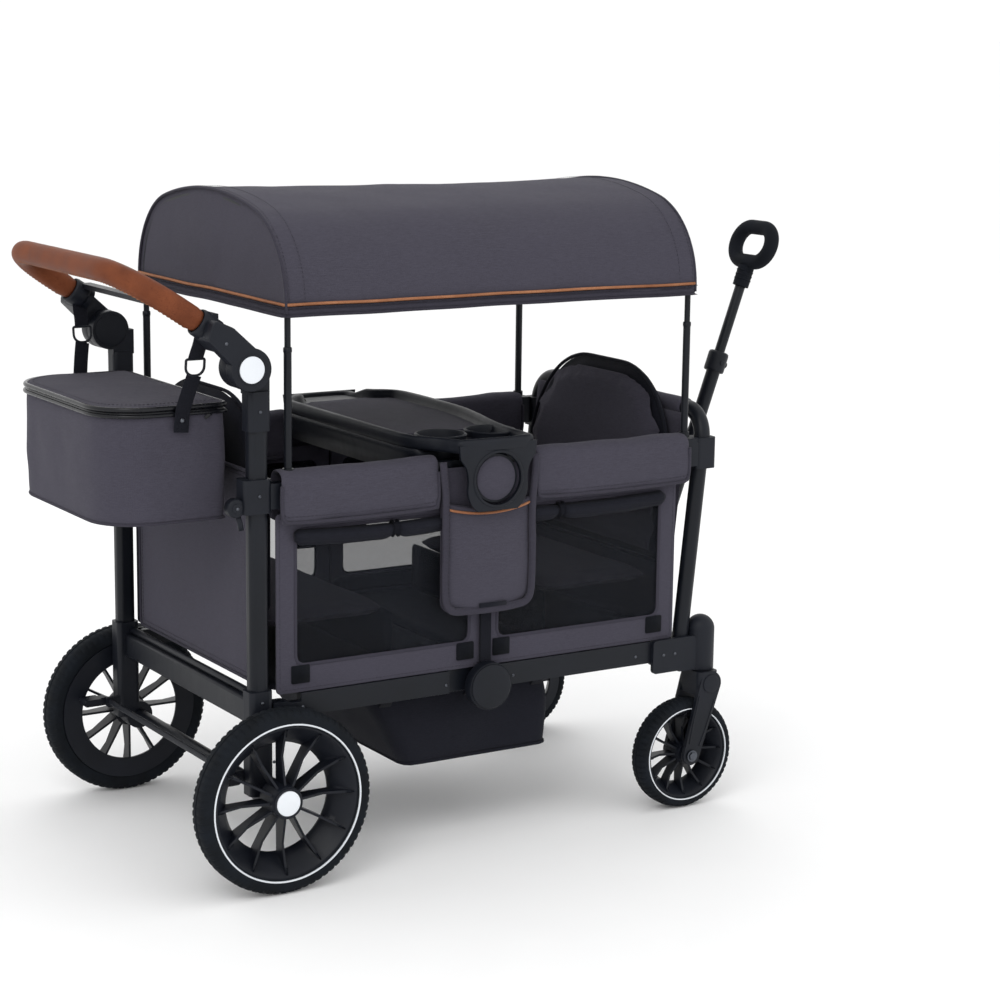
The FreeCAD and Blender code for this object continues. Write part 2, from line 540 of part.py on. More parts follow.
def make_front_end(tube):
    lean_x = "front_post_x + 34.5"
    collar = upright("front_collar", "42", "collar_deep", "collar_low", "collar_high", lean_x, "-post_y", "8")
    block = slab("front_block", "front_post_x - 15", "front_post_x + 14", "up_z - cheek_r", "up_z + 29",
                 "-rail_y", "24")
    arms = clevis("front_upper", FRONT_PIVOT, "front_post_x + 16", "up_z")[:-1]
    bracket = cut("front_bracket_right", fuse("front_bracket_body", [collar, block] + arms), [tube])
    both_sides("front_rail_brackets", bracket)

    barrel = rod("housing_barrel", "caster_x", "-caster_y", "housing_low", "housing_r",
                 "housing_high - housing_low")
    dome = doc.addObject("Part::Sphere", "housing_dome")
    bind(dome, Radius="housing_r")
    place(dome, ("caster_x", "-caster_y", "housing_high"))
    block = slab("housing_block", "front_post_x - 15", "caster_x", "block_low", "block_high",
                 "-caster_y + 1", "block_wide")
    flange = slab("housing_flange", "front_post_x - 71", "caster_x - 20", "flange_low", "flange_high",
                  "-flange_y", "flange_wide", "7")
    inner = slab("housing_cheek", "front_post_x - 60", "caster_x - 20", "low_z - cheek_r", "low_z + cheek_r",
                 "-255.7", "7.4", "7")
    pin = across("housing_pin", FRONT_PIVOT, "low_z", "pin_r", "-280", "-254")
    bore = rod("stem_bore", "caster_x", "-caster_y", "housing_low - 1", "stem_r + play",
               "stem_top - housing_low + 1.5")
    body = fuse("housing_body", [barrel, dome, block, flange, inner, pin])
    twins("caster_housing", cut("caster_housing", body, [tube, bore]))

    corners = rectangle(["caster_x - 17", "258"], ["caster_x + 7", "292"])
    bar = prism("cross_outer", "XZ_Plane", corners, "2*242.8", round_r="4")
    lugs = []
    for side, y in (("right", "-19"), ("left", "19")):
        lugs.append(slab("lug_" + side, "caster_x", "pull_x", "pull_z - 15", "pull_z + 15", y, "6"))
        lugs.append(rod("lug_end_" + side, "pull_x", y + " - 3", "pull_z", "15", "6", "y"))
    pull_pin = across("pull_pin", "pull_x", "pull_z", "hub_pin_r", "-22", "22")
    node("front_cross_bar", fuse("front_cross_bar", [bar] + lugs + [pull_pin]))


def make_casters():
    y = "-caster_y"
    crown = upright("crown", "42", "2*leg_gap + 2*fork_leg", "crown_low", "crown_high", "caster_x", y, "10")
    stem = rod("stem", "caster_x", y, "crown_high - 2", "stem_r", "stem_top - crown_high")
    pieces = [crown, stem]
    taper = [("-fork_foot_r", "0"), ("fork_foot_r", "0"), ("fork_top_r", "fork_long"),
             ("-fork_top_r", "fork_long")]
    for side, sign in (("outer", "-"), ("inner", "+")):
        middle = "%s %s (leg_gap + fork_leg/2)" % (y, sign)
        plate = prism("fork_" + side, "XZ_Plane", taper, "fork_leg", ("front_axle_x", middle, "front_axle_z"),
                      axis=(0, 1, 0), angle="fork_lean")
        start = middle + " - fork_leg/2"
        foot = rod("fork_foot_" + side, "front_axle_x", start, "front_axle_z", "fork_foot_r", "fork_leg", "y")
        head = rod("fork_head_" + side, "fork_top_x", start, "fork_top_z", "fork_top_r", "fork_leg", "y")
        pieces += [plate, foot, head]
    edge = "(leg_gap + fork_leg + 3)"
    pieces.append(across("caster_axle", "front_axle_x", "front_axle_z", "front_bore_r",
                         y + " - " + edge, y + " + " + edge))
    twins("caster_fork", fuse("caster_fork", pieces))


def make_pull_handle():
    def local(thing, low):
        turned = ("pull_x + (%s)*sin(pull_lean)" % low, "0", "pull_z + (%s)*cos(pull_lean)" % low)
        return place(thing, turned, (0, 1, 0), "pull_lean")

    def bar(name, radius, low, high):
        cylinder = doc.addObject("Part::Cylinder", name)
        bind(cylinder, Radius=radius, Height="%s - (%s)" % (high, low))
        return local(cylinder, low)

    eye = across("pull_eye", "pull_x", "pull_z", "13", "-15.5", "15.5")
    tube = bar("pull_tube", "pull_tube_r", "10", "pull_tube_long")
    collar = bar("pull_collar", "pull_tube_r + 4", "pull_tube_long - 34", "pull_tube_long")
    bore = bar("pull_bore", "pull_rod_r + rod_play", "pull_rod_low - 150", "pull_tube_long + 1")
    pivot = across("pull_pivot", "pull_x", "pull_z", "hub_pin_r + play", "-20", "20")
    node("pull_handle_outer", cut("pull_outer", fuse("pull_outer_body", [eye, tube, collar]), [bore, pivot]))
    node("pull_handle_inner", bar("pull_inner", "pull_rod_r", "pull_rod_low", "pull_rod_high"))

    socket = bar("grip_socket_body", "15", "pull_rod_high", "loop_mid - loop_r - loop_bar_r + 4")
    loop = doc.addObject("PartDesign::Body", "grip_loop")
    r, flat, thick = SIZES["loop_r"], SIZES["loop_flat"], SIZES["loop_bar_r"]
    path = new_sketch(loop, "YZ_Plane", "loop_path")
    path.addGeometry(Part.LineSegment(Vector(-flat, -r, 0), Vector(flat, -r, 0)), False)
    path.addGeometry(Part.Arc(Vector(flat, -r, 0), Vector(flat + r, 0, 0), Vector(flat, r, 0)), False)
    path.addGeometry(Part.LineSegment(Vector(flat, r, 0), Vector(-flat, r, 0)), False)
    path.addGeometry(Part.Arc(Vector(-flat, r, 0), Vector(-flat - r, 0, 0), Vector(-flat, -r, 0)), False)
    ring = new_sketch(loop, "XZ_Plane", "loop_ring")
    ring.addGeometry(Part.Circle(Vector(0, -r, 0), Vector(0, 0, 1), thick), False)
    limit = ring.addConstraint(Sketcher.Constraint("Radius", 0, thick))
    ring.setExpression("Constraints[%d]" % limit, linked("loop_bar_r"))
    pipe = loop.newObject("PartDesign::AdditivePipe", "loop_pipe")
    pipe.Profile = ring
    pipe.Spine = (path, [])
    local(loop, "loop_mid")
    node("pull_grip", fuse("pull_grip", [socket, loop]))


def make_push_handle():
    corners = rectangle(["0", "-arm_wide/2"], ["arm_long", "arm_wide/2"])
    shoulder_corners = rectangle(["arm_long - shoulder_long", "-arm_wide/2"], ["arm_long", "arm_wide/2"])
    pieces = []
    for side, sign in (("right", "-"), ("left", "")):
        hub_in = "arm_y - arm_deep/2"
        start = "-(arm_y + arm_deep/2)" if sign else hub_in
        disc = rod("arm_hub_" + side, "-handle_x", start, "handle_z", "handle_hub_r", "arm_deep", "y")
        bar = prism("arm_bar_" + side, "XZ_Plane", corners, "arm_deep",
                    ("-handle_x", sign + "arm_y", "handle_z"), "6", (0, 1, 0), "180 + arm_angle")
        shoulder_mid = sign + "(shoulder_in_y + shoulder_out_y)/2"
        shoulder = prism("arm_shoulder_" + side, "XZ_Plane", shoulder_corners,
                         "shoulder_out_y - shoulder_in_y", ("-handle_x", shoulder_mid, "handle_z"),
                         "6", (0, 1, 0), "180 + arm_angle")
        socket = doc.addObject("Part::Cylinder", "arm_socket_" + side)
        bind(socket, Radius="grip_r + 2", Height="socket_long")
        place(socket, ("-grip_x + 0.3*cos(grip_slope)", sign + "grip_y", "grip_z - 0.3*sin(grip_slope)"),
              (0, 1, 0), "90 + grip_slope")
        pieces += [disc, bar, shoulder, socket]
    yoke = rectangle(["-yoke_x - yoke_wide/2", "yoke_z - yoke_thick/2"],
                     ["-yoke_x + yoke_wide/2", "yoke_z + yoke_thick/2"])
    pieces.append(prism("yoke", "XZ_Plane", yoke, "2*grip_y"))
    bores = [across("arm_bore_" + side, "-handle_x", "handle_z", "handle_pin_r + play", low, high)
             for side, low, high in (("right", "-292.5", "-260"), ("left", "260", "292.5"))]
    arms = cut("handle_arms", fuse("handle_arms_body", pieces), bores)
    node("handle_arms", arms)

    grip = doc.addObject("PartDesign::Body", "handle_grip")
    half, reach, bend, thick = (SIZES[k] for k in ("grip_y", "grip_reach", "grip_corner", "grip_r"))
    diagonal = bend * (1 - 0.5 ** 0.5)
    path = new_sketch(grip, "XY_Plane", "grip_path")
    path.addGeometry(Part.LineSegment(Vector(0, -half, 0), Vector(reach - bend, -half, 0)), False)
    path.addGeometry(Part.Arc(Vector(reach - bend, -half, 0), Vector(reach - diagonal, -half + diagonal, 0),
                              Vector(reach, -half + bend, 0)), False)
    path.addGeometry(Part.LineSegment(Vector(reach, -half + bend, 0), Vector(reach, half - bend, 0)), False)
    path.addGeometry(Part.Arc(Vector(reach, half - bend, 0), Vector(reach - diagonal, half - diagonal, 0),
                              Vector(reach - bend, half, 0)), False)
    path.addGeometry(Part.LineSegment(Vector(reach - bend, half, 0), Vector(0, half, 0)), False)
    ring = new_sketch(grip, "YZ_Plane", "grip_ring")
    ring.addGeometry(Part.Circle(Vector(-half, 0, 0), Vector(0, 0, 1), thick), False)
    limit = ring.addConstraint(Sketcher.Constraint("Radius", 0, thick))
    ring.setExpression("Constraints[%d]" % limit, linked("grip_r"))
    pipe = grip.newObject("PartDesign::AdditivePipe", "grip_pipe")
    pipe.Profile = ring
    pipe.Spine = (path, [])
    node("handle_grip", place(grip, ("-grip_x", "0", "grip_z"), (0, 1, 0), "180 + grip_slope"))


def make_bag():
    def plan(name, inset, low, high):
        front, rear, half = "-bag_front_x - " + inset, "-bag_rear_x + " + inset, "(bag_half - %s)" % inset
        chamfer = "bag_round"
        corners = [(front, "-" + half), (front, half), ("%s + %s" % (rear, chamfer), half),
                   (rear, half + " - " + chamfer), (rear, "-" + half + " + " + chamfer),
                   ("%s + %s" % (rear, chamfer), "-" + half)]
        thick = "(%s) - (%s)" % (high, low)
        return prism(name, "XY_Plane", corners, thick, ("0", "0", "((%s) + (%s))/2" % (low, high)), "18")
    shell = plan("bag_outer", "0", "bag_low", "bag_high")
    space = plan("bag_inner", "cloth", "bag_low + cloth", "bag_high + 5")
    node("bag_body", cut("bag_body", shell, [space]))
    node("bag_lid", plan("bag_lid", "0", "bag_high + 0.5", "lid_high"))
    inner, outer = "-strap_in_y", "-strap_in_y - strap_thick"
    corners = [(inner, "strap_foot"), (outer, "strap_foot"), (outer, "bag_high"),
               (outer + " - strap_flare", "bag_high + strap_rise"),
               (inner + " - strap_flare", "bag_high + strap_rise"), (inner, "bag_high - 0.5")]
    strap = prism("strap_right", "YZ_Plane", corners, "strap_wide", ("-grip_x", "0", "0"))
    both_sides("bag_straps", strap)


def arch(inset):
    """The canopy's outline from one spring line to the other: two shoulders and a flat top arc."""
    half, spring, top, shoulder = (SIZES[k] for k in ("roof_half", "roof_spring", "roof_top", "shoulder_r"))
    across_half, rise = half - shoulder, top - spring
    crown = (across_half ** 2 + rise ** 2 - shoulder ** 2) / (2 * (rise - shoulder))
    centre = Vector(0, 0, top - crown)
    outward = (Vector(0, across_half, spring) - centre).normalize()
    shoulder_r, crown_r = shoulder - inset, crown - inset
    hip = Vector(0, across_half, spring)
    touch = hip + outward * shoulder_r
    bisector = (outward + Vector(0, 1, 0)).normalize()
    side = Vector(0, across_half + shoulder_r, spring)
    middle = hip + bisector * shoulder_r
    crown_top = centre + Vector(0, 0, crown_r)
    side_twin, middle_twin, touch_twin = (Vector(0, -point.y, point.z) for point in (side, middle, touch))
    return [Part.Arc(side_twin, middle_twin, touch_twin).toShape(),
            Part.Arc(touch_twin, crown_top, touch).toShape(),
            Part.Arc(touch, middle, side).toShape()]


def make_canopy():
    rods_low, rods_high = [], []
    for end, x in (("rear", "-rod_rear_x"), ("front", "rod_front_x")):
        title = "canopy_" + end
        lower = rod(title + "_lower", x, "-rod_y", "rod_low_z", "lower_rod_r", "rod_high_z - rod_low_z")
        foot = rod(title + "_foot", x, "-rod_y", "rod_low_z", "foot_r", "9")
        bore = rod(title + "_bore", x, "-rod_y", "rod_low_z + 12", "upper_rod_r + rod_play", "300")
        rods_low.append(cut(title + "_rod", fuse(title + "_body", [lower, foot]), [bore]))
    right = group("canopy_rods_right", rods_low)
    node("canopy_rods_lower", group("canopy_rods_lower", [right, mirrored("canopy_rods_mirror", right)]))

    half, spring, low = SIZES["rod_y"], SIZES["roof_spring"], SIZES["upper_rod_low"]
    inset = SIZES["roof_half"] - half
    bows = []
    for x in (-SIZES["rod_rear_x"], SIZES["rod_front_x"]):
        legs = [Part.makeLine(Vector(0, -half, low), Vector(0, -half, spring))]
        legs += arch(inset)
        legs += [Part.makeLine(Vector(0, half, spring), Vector(0, half, low))]
        path = Part.Wire(legs)
        ring = Part.Wire(Part.makeCircle(SIZES["upper_rod_r"], Vector(0, -half, low), Vector(0, 0, 1)))
        bow = path.makePipeShell([ring], True, False)
        bow.translate(Vector(x, 0, 0))
        bows.append(bow)
    frame = doc.addObject("Part::Feature", "canopy_frame")
    frame.Shape = Part.makeCompound(bows)
    node("canopy_frame", frame)

    def block(inset_by, rear, front, low_z):
        edges = arch(inset_by)
        side = SIZES["roof_half"] - inset_by
        hem_z = SIZES["roof_spring"]
        edges += [Part.makeLine(Vector(0, side, hem_z), Vector(0, side, low_z)),
                  Part.makeLine(Vector(0, side, low_z), Vector(0, -side, low_z)),
                  Part.makeLine(Vector(0, -side, low_z), Vector(0, -side, hem_z))]
        face = Part.Face(Part.Wire(Part.__sortEdges__(edges)))
        face.translate(Vector(rear, 0, 0))
        return face.extrude(Vector(front - rear, 0, 0))
    rear, front, cloth = -SIZES["roof_rear_x"], SIZES["roof_front_x"], SIZES["roof_cloth"]
    roof = doc.addObject("Part::Feature", "canopy_roof")
    shell = block(0, rear, front, SIZES["roof_low"])
    roof.Shape = shell.cut(block(cloth, rear + cloth, front - cloth, SIZES["roof_low"] - 5))
    node("canopy_roof", roof)


def make_brake():
    shaft = across("brake_shaft", "-brake_x", "brake_z", "brake_rod_r", "-270", "270")
    pieces = [shaft]
    for side, y in (("right", "-265"), ("left", "265")):
        arm = slab("pedal_arm_" + side, "-brake_x - pedal_long", "-brake_x", "brake_z - 7", "brake_z + 7",
                   y, "18", "6")
        pad = slab("pedal_pad_" + side, "-brake_x - pedal_long", "-brake_x - 14", "brake_z - 1",
                   "brake_z + 7", y, "30", "3")
        pieces += [arm, pad]
    node("brake_pedals", fuse("brake_pedals", pieces))


post_outer = make_rear_posts()
make_leg_housings(post_outer)
make_rear_cross_members()
make_rear_brackets(post_outer)
wheel("rear", "-rear_axle_x", "-rear_wheel_y", "axle_z", capped=True)
make_rails()
make_hubs()
make_tray()
make_cabin()
front_tube = make_front_tube()
make_front_end(front_tube)
make_casters()
wheel("front", "front_axle_x", "-caster_y", "front_axle_z", capped=False)
make_pull_handle()
make_push_handle()
make_bag()
make_canopy()
make_brake()
doc.recompute()

failed = [o.Label for o in doc.Objects if "Invalid" in o.State or "Error" in o.State]
for label, thing in nodes.items():
    if thing.Shape.isNull() or not thing.Shape.isValid() or not thing.Shape.Solids:
        failed.append(label + " (shape)")
if failed:
    raise RuntimeError("not built: " + ", ".join(failed))
for label, thing in nodes.items():
    thing.Shape.exportStep("parts/%s.step" % label)
print(len(nodes), "nodes written")
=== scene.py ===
"""Looks of the folding wagon: camera, light, materials and the cloth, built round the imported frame.

Lengths are metres in the model's frame: +X towards the pull handle, +Y to the left side, +Z up.
Places come from the boxes of the CAD nodes. The right-hand side has negative Y.
"""

from math import acos, atan2, cos, exp, pi, radians, sin, sqrt, tan

import bmesh
import bpy
import numpy as np
from mathutils import Matrix, Vector, noise


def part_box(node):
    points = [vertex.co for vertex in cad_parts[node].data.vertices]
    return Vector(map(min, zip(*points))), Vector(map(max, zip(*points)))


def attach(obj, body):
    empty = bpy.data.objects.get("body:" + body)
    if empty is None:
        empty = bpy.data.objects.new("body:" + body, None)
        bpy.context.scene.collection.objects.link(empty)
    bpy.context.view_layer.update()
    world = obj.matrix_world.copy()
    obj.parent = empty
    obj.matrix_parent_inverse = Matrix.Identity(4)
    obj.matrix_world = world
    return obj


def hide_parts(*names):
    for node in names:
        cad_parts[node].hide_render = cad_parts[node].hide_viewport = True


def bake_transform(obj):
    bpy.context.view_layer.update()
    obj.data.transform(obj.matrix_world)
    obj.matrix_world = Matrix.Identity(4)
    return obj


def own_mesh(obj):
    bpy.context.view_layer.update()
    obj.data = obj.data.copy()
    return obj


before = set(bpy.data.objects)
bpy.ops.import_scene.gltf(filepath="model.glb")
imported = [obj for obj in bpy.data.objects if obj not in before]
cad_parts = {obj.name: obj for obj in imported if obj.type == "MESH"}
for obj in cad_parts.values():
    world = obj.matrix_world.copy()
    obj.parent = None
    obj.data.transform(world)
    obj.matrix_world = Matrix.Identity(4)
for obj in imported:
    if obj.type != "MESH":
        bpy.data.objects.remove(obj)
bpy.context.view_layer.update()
scene = bpy.context.scene
SIDES = {"right": -1, "left": 1}


def vec(*parts):
    """A vector from its two or three parts."""
    return Vector(parts)


X, Y, Z = vec(1, 0, 0), vec(0, 1, 0), vec(0, 0, 1)


# ---------------------------------------------------------------- camera, light and floor

YAW, PITCH, ROLL = -0.5577, 0.1921, 0.0133
right = vec(cos(YAW), sin(YAW), 0)
forward = vec(-sin(YAW) * cos(PITCH), cos(YAW) * cos(PITCH), -sin(PITCH))
up = right.cross(forward)
turned_right = right * cos(ROLL) + up * sin(ROLL)
turned_up = up * cos(ROLL) - right * sin(ROLL)
camera = bpy.data.objects.new("camera", bpy.data.cameras.new("camera"))
camera.data.lens = 87.97
camera.data.sensor_width = 36
camera.matrix_world = Matrix.Translation((-2.1194, -3.6250, 1.3557)) @ Matrix(
    (turned_right, turned_up, -forward)).transposed().to_4x4()
scene.collection.objects.link(camera)
scene.camera = camera


def area_light(name, at, size, power, colour=(1, 1, 1)):
    """A soft lamp that looks at the middle of the wagon."""
    light = bpy.data.lights.new(name, "AREA")
    light.shape, light.size, light.energy, light.color = "DISK", size, power, colour
    obj = bpy.data.objects.new(name, light)
    obj.location = at
    obj.rotation_euler = (vec(0, 0, 0.5) - Vector(at)).to_track_quat("-Z", "Y").to_euler()
    scene.collection.objects.link(obj)


area_light("key", (-2.6, -2.4, 3.4), 2.2, 36)
area_light("fill", (3.0, -3.2, 2.2), 2.6, 8, (0.93, 0.96, 1.0))
area_light("back", (1.2, 3.4, 3.0), 2.6, 16)
world = bpy.data.worlds.new("studio")
scene.world = world
world.use_nodes = True
world.node_tree.nodes["Background"].inputs["Color"].default_value = (1.0, 1.0, 1.0, 1)
world.node_tree.nodes["Background"].inputs["Strength"].default_value = 1.06
scene.view_settings.view_transform = "Standard"


# ---------------------------------------------------------------- materials


class Look:
    """A node material while it is being made."""

    def __init__(self, name, **fixed):
        self.material = bpy.data.materials.new(name)
        self.material.use_nodes = True
        self.tree = self.material.node_tree
        self.shader = self.tree.nodes["Principled BSDF"]
        for socket, value in fixed.items():
            self.shader.inputs[socket.replace("_", " ")].default_value = value
        self.place = self.add("ShaderNodeTexCoord").outputs["Object"]

    def add(self, kind, settings=None, **inputs):
        node = self.tree.nodes.new(kind)
        for key, value in (settings or {}).items():
            setattr(node, key, value)
        for key, value in inputs.items():
            self.wire(value, node.inputs[int(key[1:]) if key[0] == "_" else key.replace("_", " ")])
        return node

    def wire(self, value, socket):
        if isinstance(value, bpy.types.NodeSocket):
            self.tree.links.new(value, socket)
        else:
            socket.default_value = value

    def math(self, operation, first, second=0.0):
        return self.add("ShaderNodeMath", {"operation": operation}, _0=first, _1=second).outputs[0]

    def noise(self, scale, detail=2.0, stretch=None):
        place = self.place
        if stretch:
            place = self.add("ShaderNodeMapping", Vector=place, Scale=stretch).outputs[0]
        return self.add("ShaderNodeTexNoise", Vector=place, Scale=scale, Detail=detail).outputs[0]

    def band(self, value, low, high):
        """The value, read from 0.3 to 0.7, as low to high."""
        return self.add("ShaderNodeMapRange", Value=value, From_Min=0.3, From_Max=0.7,
                        To_Min=low, To_Max=high).outputs[0]

    def mix(self, factor, dark, light):
        node = self.add("ShaderNodeMix", {"data_type": "RGBA"}, Factor=factor)
        for socket, colour in zip([s for s in node.inputs if s.type == "RGBA"], (dark, light)):
            self.wire(colour, socket)
        return [s for s in node.outputs if s.type == "RGBA"][0]

    def threads(self, pitch):
        """A weave seen alike on every face: crossed waves along the three axes."""
        parts = self.add("ShaderNodeSeparateXYZ", Vector=self.place).outputs
        waves = [self.math("SINE", self.math("MULTIPLY", part, 2 * pi / pitch)) for part in parts]
        crossed = [self.math("MULTIPLY", waves[i], waves[(i + 1) % 3]) for i in range(3)]
        return self.math("ADD", self.math("ADD", crossed[0], crossed[1]), crossed[2])

    def finish(self, colour, roughness=None, layers=()):
        """Wires the colour, the roughness and the bumps, each a (height, depth, strength)."""
        self.wire(colour, self.shader.inputs["Base Color"])
        if roughness is not None:
            self.wire(roughness, self.shader.inputs["Roughness"])
        normal = None
        for height, depth, strength in layers:
            bump = self.add("ShaderNodeBump", Height=height, Distance=depth, Strength=strength)
            if normal:
                self.tree.links.new(normal, bump.inputs["Normal"])
            normal = bump.outputs[0]
        if normal:
            self.tree.links.new(normal, self.shader.inputs["Normal"])
        return self.material


def tint(red, green, blue):
    """A linear colour from the usual 0 to 255 steps."""
    steps = [c / 255 for c in (red, green, blue)]
    return (*[c / 12.92 if c <= 0.04045 else ((c + 0.055) / 1.055) ** 2.4 for c in steps], 1)


def cloth(name, dark, light, pitch=0.0016, depth=0.0005, sheen=0.05, roughness=0.9):
    look = Look(name, Sheen_Weight=sheen, Sheen_Roughness=0.5, Specular_IOR_Level=0.12)
    weave = look.threads(pitch)
    slub = look.noise(95, 3, (1, 1, 9))
    fleck = look.noise(620, 2)
    worn = look.noise(5, 3)
    shade = look.math("ADD", look.math("MULTIPLY", fleck, 0.5), look.math("MULTIPLY", slub, 0.5))
    colour = look.mix(look.band(shade, 0.0, 1.0), dark, light)
    faded = look.mix(look.band(worn, 0.0, 0.35), colour, light)
    return look.finish(faded, look.band(worn, roughness - 0.06, roughness + 0.05),
                       [(look.noise(14, 2), 0.004, 0.25), (fleck, 0.0006, 0.35), (weave, depth, 0.3)])


def plastic(name, dark, light, roughness=0.42, grain=1500, depth=0.0002, coat=0.0):
    look = Look(name, Coat_Weight=coat, Coat_Roughness=0.25, Specular_IOR_Level=0.22)
    grains = look.noise(grain, 2)
    handled = look.noise(9, 4)
    scuffs = look.noise(70, 4, (1, 1, 0.15))
    colour = look.mix(look.band(handled, 0.0, 1.0), dark, light)
    rough = look.math("ADD", look.band(handled, roughness - 0.05, roughness + 0.04),
                      look.band(scuffs, 0.0, 0.05))
    return look.finish(colour, rough, [(grains, depth, 0.35)])


def leather(name, dark, light):
    look = Look(name, Specular_IOR_Level=0.1)
    cells = look.add("ShaderNodeTexVoronoi", {"feature": "DISTANCE_TO_EDGE"}, Vector=look.place,
                     Scale=520).outputs[0]
    pores = look.add("ShaderNodeMapRange", Value=cells, From_Max=0.12).outputs[0]
    tone = look.noise(22, 3)
    colour = look.mix(look.band(tone, 0.15, 1.0), dark, light)
    # Painted shade: the colour drops to the dark tint in the creases between the grain cells.
    crease_shaded = look.mix(pores, dark, colour)
    return look.finish(crease_shaded, look.band(tone, 0.48, 0.6),
                       [(look.noise(60, 3), 0.0008, 0.25), (pores, 0.0003, 0.4)])


def rubber(name, dark, light):
    look = Look(name, Specular_IOR_Level=0.14)
    dust = look.noise(30, 4)
    return look.finish(look.mix(look.band(dust, 0, 1), dark, light), look.band(dust, 0.72, 0.88),
                       [(look.noise(900, 2), 0.0003, 0.4)])


def net(name, dark, light, pitch):
    """Fine see-through netting: the holes between the threads let the eye through."""
    look = Look(name, Sheen_Weight=0.03, Specular_IOR_Level=0.12)
    parts = look.add("ShaderNodeSeparateXYZ", Vector=look.place).outputs
    waves = [look.math("SINE", look.math("MULTIPLY", parts[i], 2 * pi / pitch)) for i in (0, 2)]
    knots = look.math("MULTIPLY", waves[0], waves[1])
    open_part = look.math("ADD", look.math("MULTIPLY", knots, 0.10), 0.40)
    look.wire(look.math("SUBTRACT", 1.0, open_part), look.shader.inputs["Alpha"])
    sheen = look.noise(7, 2)
    return look.finish(look.mix(look.band(sheen, 0, 1), dark, light), look.band(sheen, 0.5, 0.7),
                       [(look.noise(9, 1), 0.01, 0.3), (knots, 0.0004, 0.5)])


GREY = cloth("grey_canvas", tint(57, 55, 64), tint(71, 69, 80))
GREY_BINDING = cloth("grey_binding", tint(47, 45, 54), tint(61, 59, 69), pitch=0.0012)
BLACK_CLOTH = cloth("black_cloth", tint(18, 19, 26), tint(30, 31, 39), sheen=0.03)
WEBBING = cloth("black_webbing", tint(15, 16, 22), tint(26, 27, 34), pitch=0.0024, depth=0.0008, sheen=0.02)
THREAD = cloth("grey_thread", tint(44, 42, 50), tint(58, 56, 64), pitch=0.0006, depth=0.0002)
TAN_CORD = leather("tan_piping", tint(128, 82, 56), tint(172, 120, 88))
LEATHER = leather("tan_leather", tint(92, 48, 30), tint(128, 72, 46))
TUBE = plastic("powder_coat", tint(14, 17, 23), tint(20, 23, 30), 0.38, 1100, 0.00025)
PLASTIC = plastic("black_plastic", tint(15, 18, 25), tint(22, 25, 33), 0.46, 1700, 0.0002)
RIM = plastic("rim_plastic", tint(14, 17, 24), tint(23, 26, 34), 0.4, 1500, 0.00015)
GLOSSY = plastic("zip_black", tint(10, 11, 15), tint(16, 17, 22), 0.24, 900, 0.0001, coat=0.15)
WHITE = plastic("white_plastic", tint(218, 222, 228), tint(232, 236, 240), 0.35, 1200, 0.0001)
STEEL = plastic("screw_steel", tint(74, 77, 84), tint(104, 107, 114), 0.34, 900, 0.0001)
STEEL.node_tree.nodes["Principled BSDF"].inputs["Metallic"].default_value = 1.0
TYRE = rubber("tyre_rubber", tint(13, 16, 20), tint(23, 27, 33))
GRIP = rubber("grip_rubber", tint(13, 16, 21), tint(20, 23, 30))
NET = net("window_net", tint(15, 17, 23), tint(25, 28, 35), 0.0022)
HOOK_TAPE = cloth("hook_tape", tint(12, 14, 19), tint(20, 22, 28), pitch=0.0018, depth=0.0009, sheen=0.02)
FLOOR = plastic("studio_floor", tint(250, 250, 250), tint(251, 251, 251), 0.85, 300, 0.00001)

bpy.ops.mesh.primitive_plane_add(size=600, location=(0, 0, 0))
floor = bpy.context.object
floor.name = "floor"
floor.data.materials.append(FLOOR)


# ---------------------------------------------------------------- making shapes


def along(path, ring=False, top=None):
    """For each point of a path: the direction, and two directions across it. top keeps the second one up."""
    count = len(path)
    result, side = [], None
    for i in range(count):
        before = path[i - 1] if i or ring else path[i]
        after = path[(i + 1) % count] if i < count - 1 or ring else path[i]
        heading = (after - before).normalized()
        if top is not None:
            side = heading.cross(top)
        elif side is None:
            side = heading.cross(Z if abs(heading.z) < 0.9 else X)
        else:
            side = side - heading * side.dot(heading)
        side = side.normalized()
        result.append((heading, side, side.cross(heading)))
    return result


def curve(points, steps=8, ring=False):
    """A smooth line through points."""
    points = [Vector(p) for p in points]
    count = len(points)
    result = []
    for i in range(count if ring else count - 1):
        around = [points[(i + k) % count] if ring else points[max(0, min(count - 1, i + k))]
                  for k in (-1, 0, 1, 2)]
        a, b, c, d = around
        for step in range(steps):
            t = step / steps
            result.append(0.5 * (2 * b + (c - a) * t + (2 * a - 5 * b + 4 * c - d) * t * t
                                 + (3 * b - a - 3 * c + d) * t ** 3))
    if not ring:
        result.append(points[-1])
    return result


def even(path, step, ring=False):
    """The same line with points a step apart."""
    path = [Vector(p) for p in path] + ([Vector(path[0])] if ring else [])
    far = [0.0]
    for a, b in zip(path, path[1:]):
        far.append(far[-1] + (b - a).length)
    count = max(2, round(far[-1] / step))
    result, k = [], 0
    for i in range(count if ring else count + 1):
        want = far[-1] * i / count
        while k < len(far) - 2 and far[k + 1] < want:
            k += 1
        share = (want - far[k]) / max(1e-9, far[k + 1] - far[k])
        result.append(path[k].lerp(path[k + 1], share))
    return result


